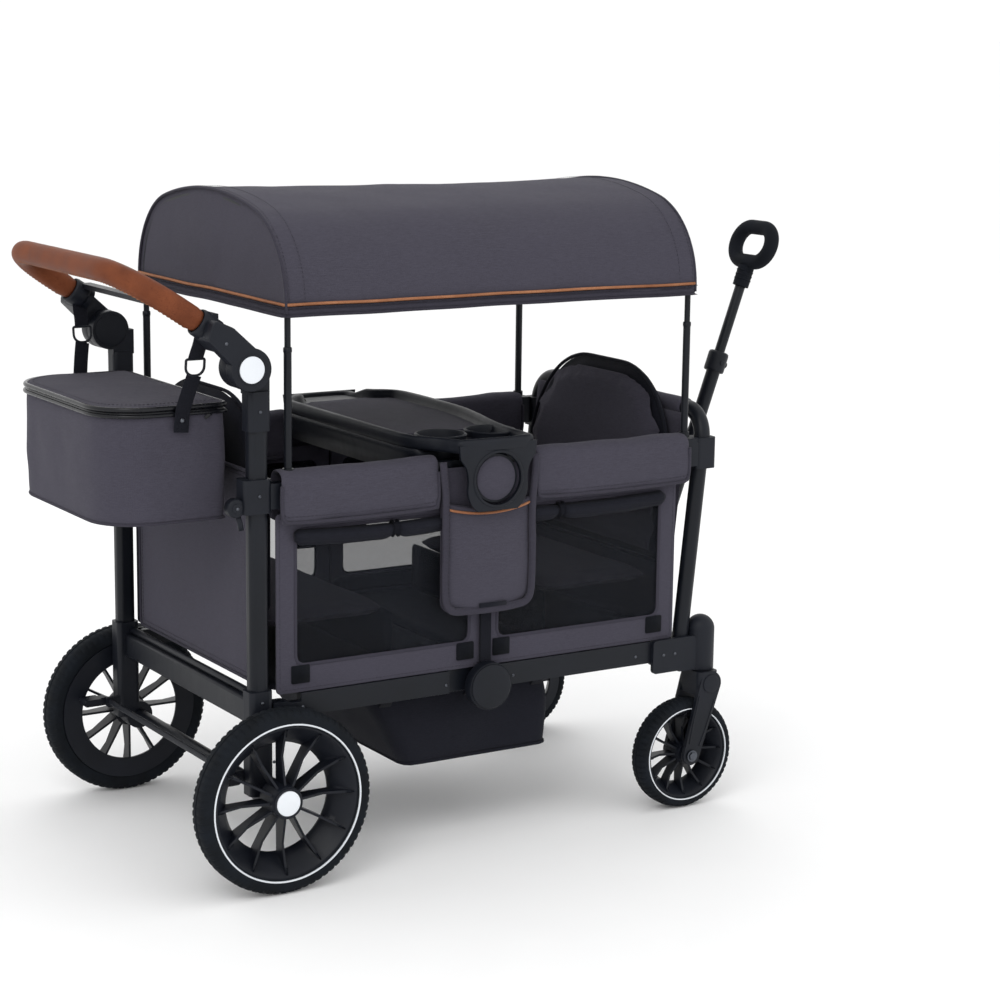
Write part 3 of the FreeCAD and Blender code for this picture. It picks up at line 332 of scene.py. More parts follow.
def rounded(corners, radii, steps=5):
    """A flat outline of (a, b) corners with each corner rounded."""
    if not hasattr(radii, "__len__"):
        radii = [radii] * len(corners)
    result = []
    count = len(corners)
    for i, radius in enumerate(radii):
        here = Vector(corners[i])
        back = (Vector(corners[i - 1]) - here).normalized()
        ahead = (Vector(corners[(i + 1) % count]) - here).normalized()
        if radius <= 0:
            result.append(here)
            continue
        half = acos(max(-1, min(1, back.dot(ahead)))) / 2
        reach = radius / tan(half)
        centre = here + (back + ahead).normalized() * (radius / sin(half))
        start, end = here + back * reach, here + ahead * reach
        a0 = atan2(start.y - centre.y, start.x - centre.x)
        sweep = atan2(end.y - centre.y, end.x - centre.x) - a0
        sweep = (sweep + pi) % (2 * pi) - pi
        for k in range(steps + 1):
            a = a0 + sweep * k / steps
            result.append(centre + vec(cos(a), sin(a)) * radius)
    return result


def both_ends(edge, low_x, high_x, middle, y):
    """A line at y: (distance from the end, height) points, the same from both ends, round a middle (x, z)."""
    start = [vec(low_x + a, y, z) for a, z in edge]
    end = [vec(high_x - a, y, z) for a, z in edge[::-1]]
    return start + [vec(middle[0], y, middle[1])] + end


def box_outline(low, high, radii, steps=5):
    return rounded([(low[0], low[1]), (high[0], low[1]), (high[0], high[1]), (low[0], high[1])], radii,
                   steps)


class Shape:
    """Points and faces of one piece while it is being made."""

    def __init__(self):
        self.points, self.faces = [], []

    def add(self, points, faces):
        start = len(self.points)
        self.points += [Vector(p) for p in points]
        self.faces += [[start + i for i in face] for face in faces]
        return self

    def loft(self, rows, loops=True, ring=False, caps=True):
        """A skin over rows of points; loops closes each row, ring joins the last row to the first."""
        wide, tall = len(rows[0]), len(rows)
        faces = []
        for r in range(tall if ring else tall - 1):
            for c in range(wide if loops else wide - 1):
                n, m = ((r + 1) % tall) * wide, (c + 1) % wide
                faces.append([r * wide + c, r * wide + m, n + m, n + c])
        if caps and loops and not ring:
            faces += [list(range(wide))[::-1], [(tall - 1) * wide + i for i in range(wide)]]
        return self.add([p for row in rows for p in row], faces)

    def tube(self, path, radius, sides=10, ring=False, caps=True):
        path = [Vector(p) for p in path]
        rows = []
        for i, (_, side, top) in enumerate(along(path, ring)):
            r = radius[i] if hasattr(radius, "__len__") else radius
            rows.append([path[i] + (side * cos(a) + top * sin(a)) * r
                         for a in (2 * pi * k / sides for k in range(sides))])
        return self.loft(rows, True, ring, caps)

    def strap(self, path, top, wide, thick, ring=False):
        """A flat band with rounded edges; top is the direction its face looks."""
        path = [Vector(p) for p in path]
        section = box_outline((-wide / 2, -thick / 2), (wide / 2, thick / 2), thick * 0.45, 2)
        rows = [[path[i] + side * s.x + face * s.y for s in section]
                for i, (_, side, face) in enumerate(along(path, ring, Vector(top)))]
        return self.loft(rows, True, ring)

    def lathe(self, profile, centre, axis, steps=48, ring=False, wobble=None):
        """Turns (radius, distance along the axis) points about an axis."""
        axis = Vector(axis).normalized()
        first = axis.orthogonal().normalized()
        second = axis.cross(first)
        rows = []
        for k in range(steps):
            a = 2 * pi * k / steps
            outward = first * cos(a) + second * sin(a)
            rows.append([Vector(centre) + outward * (r + (wobble(k, i) if wobble else 0)) + axis * h
                         for i, (r, h) in enumerate(profile)])
        return self.loft(rows, ring, True, False)

    def disc(self, centre, axis, radius, thick, round_r=None, crown=0.0, steps=40):
        """A solid round button with a soft edge, standing on centre and rising along axis."""
        soft = round_r or thick * 0.4
        profile = [(0.0001, 0), (radius, 0), (radius, thick - soft)]
        profile += [(radius - soft * (1 - cos(a)), thick - soft * (1 - sin(a)))
                    for a in (pi / 2 * k / 4 for k in range(1, 5))]
        profile += [(radius * s, thick + crown * (1 - s * s)) for s in (0.75, 0.5, 0.25)]
        profile.append((0.0001, thick + crown))
        return self.lathe(profile, centre, axis, steps)

    def screw(self, centre, axis, radius=0.0027):
        """A small domed screw head with a cross cut into it."""
        self.disc(centre, axis, radius, 0.0012, 0.0008, 0.0006, 16)
        side = Vector(axis).orthogonal().normalized()
        top = Vector(centre) + Vector(axis) * 0.0021
        for arm in (side, Vector(axis).cross(side)):
            self.strap([top - arm * radius * 0.6, top + arm * radius * 0.6], axis, radius * 0.3, 0.0004)
        return self

    def stitches(self, path, away, length=0.0042, gap=0.0026, thick=0.0009, ring=False):
        """A row of sewn stitches lying on a surface that looks away."""
        line = even(path, (length + gap) / 2, ring)
        away = Vector(away).normalized()
        for a, b in zip(line[::2], line[1::2]):
            heading = (b - a).normalized()
            start, end = a - heading * (length - (b - a).length) / 2, b + heading * (length
                                                                                     - (b - a).length) / 2
            side = heading.cross(away) * thick / 2
            rise = away * thick / 2
            rows = [[p - side * s, p + rise * s * 1.3, p + side * s, p - rise * s]
                    for p, s in ((start, 0.4), (start.lerp(end, 0.25), 1), (start.lerp(end, 0.75), 1),
                                 (end, 0.4))]
            self.loft(rows)
        return self

    def shift(self, size, depth, way=None, seed=0.0, where=None):
        """Pushes points in and out by smooth noise, as slack cloth hangs."""
        for p in self.points:
            q = p / size + vec(seed, seed * 1.7, -seed)
            d = Vector(way) * noise.noise(q) if way else noise.noise_vector(q)
            p += d * depth * (where(p) if where else 1.0)
        return self

    def make(self, name, look, body=None, slot=None, smooth=True, weld=0.0):
        mesh = bpy.data.meshes.new(name)
        mesh.from_pydata([tuple(p) for p in self.points], [], self.faces)
        form = bmesh.new()
        form.from_mesh(mesh)
        bmesh.ops.remove_doubles(form, verts=form.verts, dist=weld or 1e-6)
        bmesh.ops.recalc_face_normals(form, faces=form.faces)
        form.to_mesh(mesh)
        form.free()
        obj = bpy.data.objects.new(name, mesh)
        scene.collection.objects.link(obj)
        mesh.materials.append(look)
        if smooth:
            mesh.shade_smooth()
        if body:
            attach(obj, body)
        return obj


def crease(obj, degrees=35):
    """Smooth shading that keeps hard edges."""
    obj.data.shade_smooth()
    obj.data.set_sharp_from_angle(angle=radians(degrees))
    return obj


def thicken(obj, thick, offset=-1.0):
    """Give a skin a thickness, measured inwards unless offset says otherwise."""
    made = obj.modifiers.new("thickness", "SOLIDIFY")
    made.thickness, made.offset = thick, offset
    return obj


def subdivide(obj):
    """Smooth a mesh with one level of subdivision."""
    even_skin = obj.modifiers.new("even", "SUBSURF")
    even_skin.levels = even_skin.render_levels = 1


def plate(name, outline, holes, at, u, v, thick, soft, look, body=None, slot=None):
    """A flat plate with rounded edges; outline and holes are in (u, v), and at is mid-thickness."""
    line = bpy.data.curves.new(name, "CURVE")
    line.dimensions, line.fill_mode = "2D", "BOTH"
    for loop in [outline, *holes]:
        spline = line.splines.new("POLY")
        spline.points.add(len(loop) - 1)
        for point, (a, b) in zip(spline.points, loop):
            point.co = (a, b, 0, 1)
        spline.use_cyclic_u = True
    line.extrude, line.bevel_depth, line.offset, line.bevel_resolution = thick / 2 - soft, soft, -soft, 2
    temporary = bpy.data.objects.new(name, line)
    scene.collection.objects.link(temporary)
    mesh = bpy.data.meshes.new_from_object(temporary.evaluated_get(bpy.context.evaluated_depsgraph_get()))
    bpy.data.objects.remove(temporary)
    u, v = Vector(u), Vector(v)
    mesh.transform(Matrix.Translation(at) @ Matrix((u, v, u.cross(v))).transposed().to_4x4())
    shape = Shape().add([p.co for p in mesh.vertices], [list(f.vertices) for f in mesh.polygons])
    obj = shape.make(name, look, body, slot, weld=1e-5)
    return crease(obj, 30)


def circle(centre, radius, steps=48):
    return [(centre[0] + radius * cos(2 * pi * k / steps),
             centre[1] + radius * sin(2 * pi * k / steps)) for k in range(steps)]


def stuff(obj, cap, voxel=0.006, pressure=4.0):
    """Fills a closed cloth form: it swells by at most cap, and the result is kept."""
    bpy.context.view_layer.objects.active = obj
    remesh = obj.modifiers.new("remesh", "REMESH")
    remesh.mode, remesh.voxel_size, remesh.use_smooth_shade = "VOXEL", voxel, True
    bpy.ops.object.modifier_apply(modifier="remesh")
    rest = np.array([v.co for v in obj.data.vertices])
    swell = obj.modifiers.new("swell", "CLOTH")
    swell.settings.quality = 4
    swell.settings.use_pressure = True
    swell.settings.uniform_pressure_force = pressure
    swell.settings.tension_stiffness = swell.settings.compression_stiffness = 25
    swell.settings.bending_stiffness = 2
    swell.settings.effector_weights.gravity = 0
    for step in range(1, 21):
        scene.frame_set(step)
    made = obj.evaluated_get(bpy.context.evaluated_depsgraph_get()).data
    moved = np.array([v.co for v in made.vertices]) - rest
    length = np.linalg.norm(moved, axis=1)[:, None]
    final = rest + moved * np.minimum(1, cap / np.maximum(length, 1e-9))
    obj.modifiers.remove(swell)
    scene.frame_set(1)
    obj.data.vertices.foreach_set("co", final.astype(np.float32).ravel())
    obj.data.update()
    subdivide(obj)
    bpy.ops.object.modifier_apply(modifier="even")
    obj.data.shade_smooth()
    return obj


def cushion(name, outline, at, u, v, thick, look, full=2.6, rings=9):
    """A crowned closed pad over an outline in (u, v); at is the middle of its thickness."""
    at, u, v = Vector(at), Vector(u), Vector(v)
    out = u.cross(v)
    middle = vec(sum(p[0] for p in outline) / len(outline), sum(p[1] for p in outline) / len(outline))
    rows = []
    for side in (1, -1):
        steps = range(rings + 1) if side > 0 else range(rings, -1, -1)
        for k in steps:
            share = 1 - (1 - k / rings) ** 1.6
            rise = thick / 2 * (1 - (1 - share) ** full) ** (1 / full)
            if side > 0 and k == rings:
                rise = thick / 2
            row = [at + u * (middle.x + (p[0] - middle.x) * max(1 - share, 0.002))
                   + v * (middle.y + (p[1] - middle.y) * max(1 - share, 0.002)) + out * side * rise
                   for p in outline]
            if side < 0 and k == 0:
                continue
            rows.append(row)
    order = rows[:rings + 1][::-1] + rows[rings + 1:][::-1]
    shape = Shape().loft(order)
    return shape.make(name, look)


def crumple(obj, body):
    """Rides a body, on a mesh of its own."""
    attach(obj, body)
    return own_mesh(obj)


def rear_soft(obj):
    """Let a piece at the back ride the rear frame."""
    return crumple(obj, "rear_frame")


def front_soft(obj):
    """Let a piece at the front ride the front frame."""
    return crumple(obj, "front_frame")


def leaning(angle):
    """The upward direction of something that leans towards +X."""
    return vec(sin(angle), 0, cos(angle))


FRONT_LEAN = radians(5.84)


SOFT_END = {"rear": rear_soft, "front": front_soft}


# ---------------------------------------------------------------- CAD pieces that stay

FINISHES = {
    TUBE: ["rear_post_right", "rear_post_left", "rear_cross_bar", "rear_axle", "lower_rails_rear",
           "lower_rails_front", "upper_rails_rear", "upper_rails_front", "front_tube", "front_cross_bar",
           "pull_handle_outer", "pull_handle_inner", "canopy_rods_lower", "canopy_frame"],
    PLASTIC: ["rear_leg_housing_right", "rear_leg_housing_left", "rear_rail_brackets", "handle_pivot_bases",
              "lower_hub_discs", "upper_hub_discs", "caster_housing_right", "caster_housing_left",
              "front_rail_brackets", "caster_fork_right", "caster_fork_left", "handle_arms",
              "brake_pedals"],
    RIM: ["rear_rim_right", "rear_rim_left", "front_rim_right", "front_rim_left"],
    WEBBING: ["hub_links"],
    GRIP: ["pull_grip"],
}
SOFT_EDGE = {PLASTIC: 0.0016, RIM: 0.0007, TUBE: 0.0008}
for finish, names in FINISHES.items():
    for name in names:
        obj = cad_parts[name]
        obj.data.materials.clear()
        obj.data.materials.append(finish)
        if finish in SOFT_EDGE and name not in ("canopy_frame", "canopy_rods_lower", "front_tube"):
            weld = obj.modifiers.new("weld", "WELD")
            weld.merge_threshold = 0.00002
            bevel = obj.modifiers.new("edge", "BEVEL")
            bevel.width, bevel.segments = SOFT_EDGE[finish], 2
            bevel.limit_method, bevel.angle_limit = "ANGLE", radians(40)


# ---------------------------------------------------------------- wheels


def wheel(end, side, body):
    """A tyre with tread blocks and a white ring, and what closes the hub."""
    low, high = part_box(f"{end}_tyre_{side}")
    rim_low, rim_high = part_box(f"{end}_rim_{side}")
    out = Y * SIDES[side]
    centre = vec((low.x + high.x) / 2, 0, (low.z + high.z) / 2)
    tyre_r, rim_r = (high.x - low.x) / 2, (rim_high.x - rim_low.x) / 2
    face = high.y if side == "left" else -low.y
    back = low.y if side == "left" else -high.y
    tall = tyre_r - rim_r
    blocks = 72 if end == "rear" else 56
    steps = blocks * 6
    profile = [(rim_r - 0.001, face - 0.004), (rim_r + 0.0015, face - 0.0015), (rim_r + tall * 0.3, face),
               (tyre_r - tall * 0.42, face), (tyre_r - tall * 0.3, face - 0.001),
               (tyre_r - tall * 0.13, face - 0.005),
               (tyre_r - tall * 0.04, face - 0.0085), (tyre_r, face - 0.013),
               (tyre_r, (face + back) / 2 + 0.002),
               (tyre_r - 0.002, (face + back) / 2 + 0.0008), (tyre_r - 0.002, (face + back) / 2 - 0.0008),
               (tyre_r, (face + back) / 2 - 0.002), (tyre_r, back + 0.013),
               (tyre_r - tall * 0.04, back + 0.0085),
               (tyre_r - tall * 0.13, back + 0.005), (tyre_r - tall * 0.3, back + 0.001),
               (tyre_r - tall * 0.42, back), (rim_r + tall * 0.3, back), (rim_r + 0.0015, back + 0.0015),
               (rim_r - 0.001, back + 0.004)]

    def tread(k, i):
        """Grooves between the blocks on both shoulders, half a block out of step."""
        if not 4 <= i <= 15:
            return 0
        shift = 0 if i < 10 else 3
        return -0.0017 if (k + shift) % 6 in (0, 1) and i not in (8, 9, 10, 11) else 0

    tyre = Shape().lathe(profile, centre, out, steps, True, tread).make(f"{end}_tyre_tread_{side}", TYRE,
                                                                        body)
    crease(tyre, 28)
    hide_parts(f"{end}_tyre_{side}")
    ring_r = rim_r + (0.0035 if end == "rear" else 0.0028)
    half = 0.0017 if end == "rear" else 0.0013
    ring = Shape().lathe([(ring_r - half, face - 0.0015), (ring_r - half * 0.6, face + 0.0004),
                          (ring_r, face + 0.0008),
                          (ring_r + half * 0.6, face + 0.0004), (ring_r + half, face - 0.0015)], centre,
                         out, 96, True)
    ring.make(f"{end}_white_ring_{side}", WHITE, body)
    cap_at = centre + out * (max(abs(rim_low.y), abs(rim_high.y)) if end == "rear" else face - 0.0015)
    if end == "rear":
        cap = Shape().disc(cap_at - out * 0.0006, out, 0.0205, 0.0022, 0.001, 0.0012)
        cap.make(f"rear_hub_cap_{side}", WHITE, body)
        lip = Shape().lathe([(0.0212, 0), (0.0215, 0.0022), (0.0228, 0.0028), (0.0245, 0.002), (0.0252, 0)],
                            cap_at - out * 0.0008, out, 48, True)
        lip.make(f"rear_hub_lip_{side}", RIM, body)
    ribs = Shape()
    for k in range(12):
        a = 2 * pi * k / 12
        radial = vec(cos(a), 0, sin(a))
        near, far = rim_r * 0.86, rim_r * 0.955
        across = radial.cross(out)
        depth = face - 0.0065
        ribs.strap([centre + radial * near + out * (depth - 0.002),
                    centre + radial * (near + far) / 2 + out * (depth - 0.001),
                    centre + radial * far + out * depth], out, 0.0026, 0.003)
    ribs.make(f"{end}_blade_ribs_{side}", RIM, body)


for side in SIDES:
    wheel("rear", side, f"rear_wheel_{side}")
    wheel("front", side, f"front_wheel_{side}")
    fork_low, fork_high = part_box(f"caster_fork_{side}")
    wheel_low, wheel_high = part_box(f"front_rim_{side}")
    axle = vec((wheel_low.x + wheel_high.x) / 2, 0, (wheel_low.z + wheel_high.z) / 2)
    bolts = Shape()
    for y, out in ((fork_low.y, -Y), (fork_high.y, Y)):
        bolts.disc(axle + Y * y + out * 0.0002, out, 0.0075, 0.003, 0.001, 0.0006, 6)
        bolts.disc(axle + Y * y - out * 0.0018, out, 0.0105, 0.0022, 0.0008, 0, 32)
    bolts.make(f"caster_bolts_{side}", STEEL, f"caster_{side}")
    ridge = Shape()
    for y, out in ((fork_low.y + 0.003, -Y), (fork_high.y - 0.003, Y)):
        foot = axle + Y * y
        head = vec(fork_high.x - 0.022, y, fork_high.z - 0.074)
        away = (head - foot).normalized()
        across = away.cross(out)
        for edge in (across, -across):
            ridge.tube(curve([foot + away * 0.020 + edge * 0.011, foot.lerp(head, 0.45) + edge * 0.015,
                              foot.lerp(head, 0.8) + edge * 0.017]), 0.0016, 8)
        ridge.disc(head + out * -0.0005, out, 0.0165, 0.0024, 0.0012, 0.001)
    ridge.make(f"fork_ridges_{side}", PLASTIC, f"caster_{side}")


# ---------------------------------------------------------------- canopy

roof_low, roof_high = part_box("canopy_roof")
SPRING_Z = roof_low.z + 0.010
SHOULDER_R = 0.150
HEM = 0.012


def arch(half, rise, shoulder, base_z, count=64):
    """The roof's outline from the right hem over the top to the left hem, as (y, z)."""
    flat_half = half - shoulder
    crown = (flat_half ** 2 + rise ** 2 - shoulder ** 2) / (2 * (rise - shoulder))
    centre_z = base_z + rise - crown
    lean = atan2(flat_half, base_z - centre_z)
    line = [(-half, roof_low.z)]
    line += [(-flat_half - shoulder * cos(a), base_z + shoulder * sin(a))
             for a in np.linspace(0, pi / 2 - lean, 14)]
    line += [(crown * sin(a), centre_z + crown * cos(a)) for a in np.linspace(-lean, lean, 31)[1:-1]]
    line += [(-y, z) for y, z in line[14::-1]]
    return [(p.x, p.z) for p in even([vec(y, 0, z) for y, z in line], 0.5 * 1.0 / count * 1.45)]


roof_half, roof_rise = roof_high.y, roof_high.z - SPRING_Z
outline_out = arch(roof_half - 0.0008, roof_rise - 0.0008, SHOULDER_R, SPRING_Z)
rod_low, rod_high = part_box("canopy_rods_lower")
BOWS = (rod_low.x + 0.009, rod_high.x - 0.009)


def roof_row(x, scale, slump):
    """One crosswise line of the roof cloth; it sinks a little between the bows."""
    row = []
    for y, z in outline_out:
        height = (z - roof_low.z) / (roof_high.z - roof_low.z)
        sink = slump * height ** 0.7
        row.append(vec(x, y * scale * (1 - sink * 0.25 / roof_half),
                       roof_low.z + (z - roof_low.z) * scale - sink))
    return row


span = roof_high.x - roof_low.x


def sag(x):
    """How far the cloth sinks at x between the two bows."""
    return 0.0055 * sin(pi * min(1, max(0, (x - BOWS[0]) / (BOWS[1] - BOWS[0])))) ** 0.8


END_SCALES = [0.03, 0.14, 0.26, 0.38, 0.50, 0.62, 0.74, 0.85, 0.94, 0.982]
roof_rows = []
for scale in END_SCALES:
    roof_rows.append(roof_row(roof_low.x + 0.0045 - 0.004 * sin(pi * scale), scale, 0))
SPOTS = [0.0015, 0.0040] + [0.012 + (span - 0.024) * k / 52 for k in range(53)] + [span - 0.0040,
                                                                                   span - 0.0015]
for spot in SPOTS:
    roof_rows.append(roof_row(roof_low.x + spot, 1.0, sag(roof_low.x + spot)))
for scale in END_SCALES[::-1]:
    roof_rows.append(roof_row(roof_high.x - 0.0045 + 0.004 * sin(pi * scale), scale, 0))
roof = Shape().loft(roof_rows, loops=False)
roof.shift(0.11, 0.0026, seed=3.1).shift(0.035, 0.0007, seed=8.4)
for p in roof.points:
    p.z = max(p.z, roof_low.z)
canopy_cloth = roof.make("canopy_cloth", GREY)
thicken(canopy_cloth, 0.0016, -1)
subdivide(canopy_cloth)
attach(canopy_cloth, "canopy")
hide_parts("canopy_roof")


def hem_line(z, out):
    """Round the hem, with the slight wave of a hanging edge."""
    low, high = roof_low, roof_high
    corners = box_outline((low.x - out, -roof_half - out), (high.x + out, roof_half + out), 0.006, 3)
    line = even([vec(a, b, z) for a, b in corners], 0.012, True)
    return [p + Z * 0.0016 * noise.noise(p * 9) for p in line]


hem = Shape()
hem_loop = hem_line(roof_low.z + HEM / 2 - 0.003, 0.0002)
hem.strap(hem_loop, Z, 0.0032, HEM + 0.004, True)
hem.make("canopy_hem", GREY_BINDING, "canopy")
Shape().tube(hem_line(roof_low.z + HEM + 0.0022, 0.0018), 0.0026, 8, True).make(
    "canopy_piping", TAN_CORD, "canopy")
seams = Shape()
for x in (roof_low.x + 0.0015, roof_high.x - 0.0015):
    seams.tube(roof_row(x, 1.0, 0.0008), 0.0026, 8)
seams.make("canopy_seams", GREY_BINDING, "canopy")
sewn = Shape()
for x in (roof_low.x + 0.034, roof_high.x - 0.034, roof_low.x + 0.007, roof_high.x - 0.007):
    line = [p + vec(0, 0, 0.0006) for p in roof_row(x, 1.0, sag(x))]
    for piece, away in ((line[:12], -Y + Z), (line[11:-11], Z), (line[-12:], Y + Z)):
        sewn.stitches([p + Vector(away).normalized() * 0.0012 for p in piece], away)
sewn.stitches([p + Z * (HEM / 2 - 0.003) for p in hem_line(roof_low.z + HEM / 2, 0.0022)][2:], -Y, 0.004,
              0.003)
sewn.make("canopy_stitches", THREAD, "canopy")
tips = Shape()
for x in BOWS:
    for y in (-0.268, 0.268):
        tips.lathe([(0.0060, 0.004), (0.0068, 0.0045), (0.0070, 0.008), (0.0068, 0.0115), (0.0056, 0.0125)],
                   (x, y, rod_high.z - 0.010), Z, 24)
tips.make("rod_sleeves", PLASTIC, "canopy_rods")


# ---------------------------------------------------------------- push handle

base_low, base_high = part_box("handle_pivot_bases")
HUB = vec(base_low.x + 0.033, 0, base_high.z - 0.033)
arm_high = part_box("handle_arms")[1]
GRIP_START = vec(-0.5565, 0.2516, 0.905)
GRIP_SLOPE = radians(33.5)
GRIP_R, GRIP_REACH, GRIP_CORNER = 0.019, 0.140, 0.100
reach_way = vec(-cos(GRIP_SLOPE), 0, sin(GRIP_SLOPE))
grip_up = vec(sin(GRIP_SLOPE), 0, cos(GRIP_SLOPE))


def grip_point(t, y):
    """The place at distance t along the grip's reach."""
    return vec(GRIP_START.x, y, GRIP_START.z) + reach_way * t


def grip_path():
    """The middle line of the U-shaped grip, from end to end."""
    half = GRIP_START.y
    line = [grip_point(t, -half) for t in np.linspace(0.006, GRIP_REACH - GRIP_CORNER, 8)]
    for a in np.linspace(0, pi / 2, 12)[1:]:
        line.append(grip_point(GRIP_REACH - GRIP_CORNER + GRIP_CORNER * sin(a),
                               -half + GRIP_CORNER * (1 - cos(a))))
    line += [vec(p.x, -p.y, p.z) for p in line[::-1]]
    return even(line, 0.006)


grip_line = grip_path()
grip = Shape()
rows = []
for i, (_, side, top) in enumerate(along(grip_line, top=grip_up)):
    end = min(i, len(grip_line) - 1 - i)
    radius = GRIP_R * (0.90 + 0.10 * min(1, end / 2)) * (1 + 0.006 * noise.noise(grip_line[i] * 40))
    rows.append([grip_line[i] + side * cos(a) * radius + top * sin(a) * radius
                 * (1 - 0.035 * max(0, -sin(a)) ** 8) for a in (2 * pi * k / 28 for k in range(28))])
grip.loft(rows)
leather_grip = grip.make("leather_grip", LEATHER, "push_handle")
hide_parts("handle_grip")
lace = Shape()
for offset in (-0.0022, 0.0022):
    line = [p - top * (GRIP_R * 0.968) + side * offset for p,
            (_, side, top) in zip(grip_line, along(grip_line, top=grip_up))]
    lace.stitches(line[2:-2], -grip_up, 0.0045, 0.003, 0.001)
lace.make("grip_stitches", TAN_CORD, "push_handle")
sockets, caps, rims, handle_screws = Shape(), Shape(), Shape(), Shape()
for side, sign in SIDES.items():
    out = Y * sign
    start = grip_point(0, sign * GRIP_START.y)
    sockets.lathe([(0.0192, -0.002), (0.0214, -0.001), (0.0222, 0.004), (0.0222, 0.022), (0.0212, 0.026),
                   (0.0192, 0.027)],
                  start - reach_way * 0.020, reach_way, 40, True)
    face = vec(HUB.x, sign * arm_high.y, HUB.z)
    caps.disc(face - out * 0.0004, out, 0.0210, 0.0016, 0.0008, 0.0008, 56)
    rims.lathe([(0.0216, -0.0004), (0.0220, 0.0012), (0.0230, 0.0016), (0.0240, 0.0010), (0.0245, -0.0004)],
               face, out, 64, True)
    inner = vec(HUB.x, sign * 0.248, HUB.z)
    rims.disc(inner + out * 0.0004, -out, 0.028, 0.0022, 0.001, 0.001, 56)
    handle_screws.screw(vec(-0.5335, sign * arm_high.y, HUB.z + 0.0425) - out * 0.0002, out)
    hub_arc = [(HUB.x + 0.0335 * cos(a), HUB.z + 0.0335 * sin(a)) for a in np.linspace(1.35, -3.45, 30)]
    corners = [(-0.5235, 0.846), (-0.537, 0.8625), (-0.563, 0.885), (-0.5535, 0.9155), (-0.520, 0.9005)]
    plate(f"arm_cover_{side}", rounded(hub_arc + corners, [0] * 31 + [0.006, 0.007, 0.009, 0.02], 5), [],
          (0, sign * 0.2848, 0), X, Z, 0.0250, 0.003, PLASTIC, "push_handle")
sockets.make("grip_sockets", PLASTIC, "push_handle")
caps.make("hub_white_discs", WHITE, "push_handle", "black_plastic")
rims.make("hub_disc_rims", PLASTIC, "push_handle")
handle_screws.make("handle_screws", STEEL, "push_handle")


# ---------------------------------------------------------------- bag

bag_low, bag_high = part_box("bag_body")


def bag_plan(inset, z):
    """The bag's outline at height z, drawn in by inset."""
    low, high = bag_low, bag_high
    corners = [(high.x + 0.003 - inset, low.y + inset), (high.x + 0.003 - inset, high.y - inset),
               (low.x + inset, high.y - inset), (low.x + inset, low.y + inset)]
    line = rounded(corners, [0.011, 0.011, 0.078, 0.078], 10)
    return even([vec(a, b, z) for a, b in line], 0.011, True)


bag_middle = (bag_low + bag_high) / 2


def shrunk(row, scale, z):
    """A level outline drawn in towards the middle of the bag."""
    return [vec(bag_middle.x + (p.x - bag_middle.x) * scale, p.y * scale, z) for p in row]


bag_rows = []
BELLY = 14
foot_row = bag_plan(0.0035, 0)
for scale in (0.03, 0.3, 0.6, 0.85, 0.96):
    bag_rows.append(shrunk(foot_row, scale, bag_low.z - 0.003))
for k in range(BELLY + 1):
    share = k / BELLY
    bulge = 0.0025 * sin(pi * share)
    bag_rows.append(bag_plan(0.0040 - bulge, bag_low.z - 0.003 + (bag_high.z - bag_low.z + 0.001) * share))


def same_count(rows, count):
    """The same loops with equal numbers of points."""
    result = []
    for row in rows:
        loop = row + [row[0]]
        far = [0.0]
        for a, b in zip(loop, loop[1:]):
            far.append(far[-1] + (b - a).length)
        made, k = [], 0
        for i in range(count):
            want = far[-1] * i / count
            while far[k + 1] < want:
                k += 1
            made.append(loop[k].lerp(loop[k + 1], (want - far[k]) / max(1e-9, far[k + 1] - far[k])))
        result.append(made)
    return result


bag = Shape().loft(same_count(bag_rows, 110), caps=False)
bag.faces.append(list(range(110))[::-1])
tall = bag_high.z - bag_low.z


def free_part(p):
    """How far a point of the bag is from its stiff top and bottom edges."""
    return max(0.05, sin(pi * min(1, max(0, (p.z - bag_low.z) / tall))))


bag.shift(0.085, 0.0042, seed=1.7, where=free_part).shift(0.03, 0.0016, seed=5.2, where=free_part)
bag_shell = bag.make("bag_shell", GREY)
thicken(bag_shell, 0.003, -1)
subdivide(bag_shell)
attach(bag_shell, "bag")
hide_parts("bag_body")
Shape().tube(bag_plan(0.0045, bag_low.z - 0.0015), 0.0024, 8, True).make("bag_base_piping", GREY_BINDING,
                                                                         "bag")
zip_loop = bag_plan(0.0045, bag_high.z - 0.004)
Shape().strap(zip_loop, Z, 0.0062, 0.009, True).make("bag_zip_tape", GLOSSY, "bag")
Shape().tube(bag_plan(0.0012, bag_high.z - 0.0072), 0.0032, 10, True).make("bag_rim_piping", GLOSSY, "bag")
teeth = Shape()
for a, b in zip(zip_loop, zip_loop[1:] + zip_loop[:1]):
    for share in (0.0, 0.25, 0.5, 0.75):
        p = a.lerp(b, share)
        heading = (b - a).normalized()
        out = heading.cross(Z)
        teeth.strap([p + out * 0.0012 - heading * 0.0005, p + out * 0.0012 + heading * 0.0005], out,
                    0.0026, 0.0010)
teeth.make("bag_zip_teeth", GLOSSY, "bag")
puller = Shape()
pull_at = vec(bag_high.x - 0.012, bag_low.y + 0.004, bag_high.z - 0.006)
puller.strap([pull_at, pull_at + vec(-0.014, -0.003, -0.002), pull_at + vec(-0.026, -0.004, -0.010)], Y,
             0.006, 0.0016)
puller.make("bag_zip_puller", GLOSSY, "bag")
edges_of_bag = Shape()
for y in (bag_low.y + 0.010, bag_high.y - 0.010):
    edges_of_bag.tube([vec(bag_high.x - 0.008, y, z)
                       for z in np.linspace(bag_low.z + 0.006, bag_high.z - 0.008, 14)],
                      0.0024, 8)
edges_of_bag.make("bag_edge_piping", GREY_BINDING, "bag")
lid_edge = bag_plan(0.004, 0)
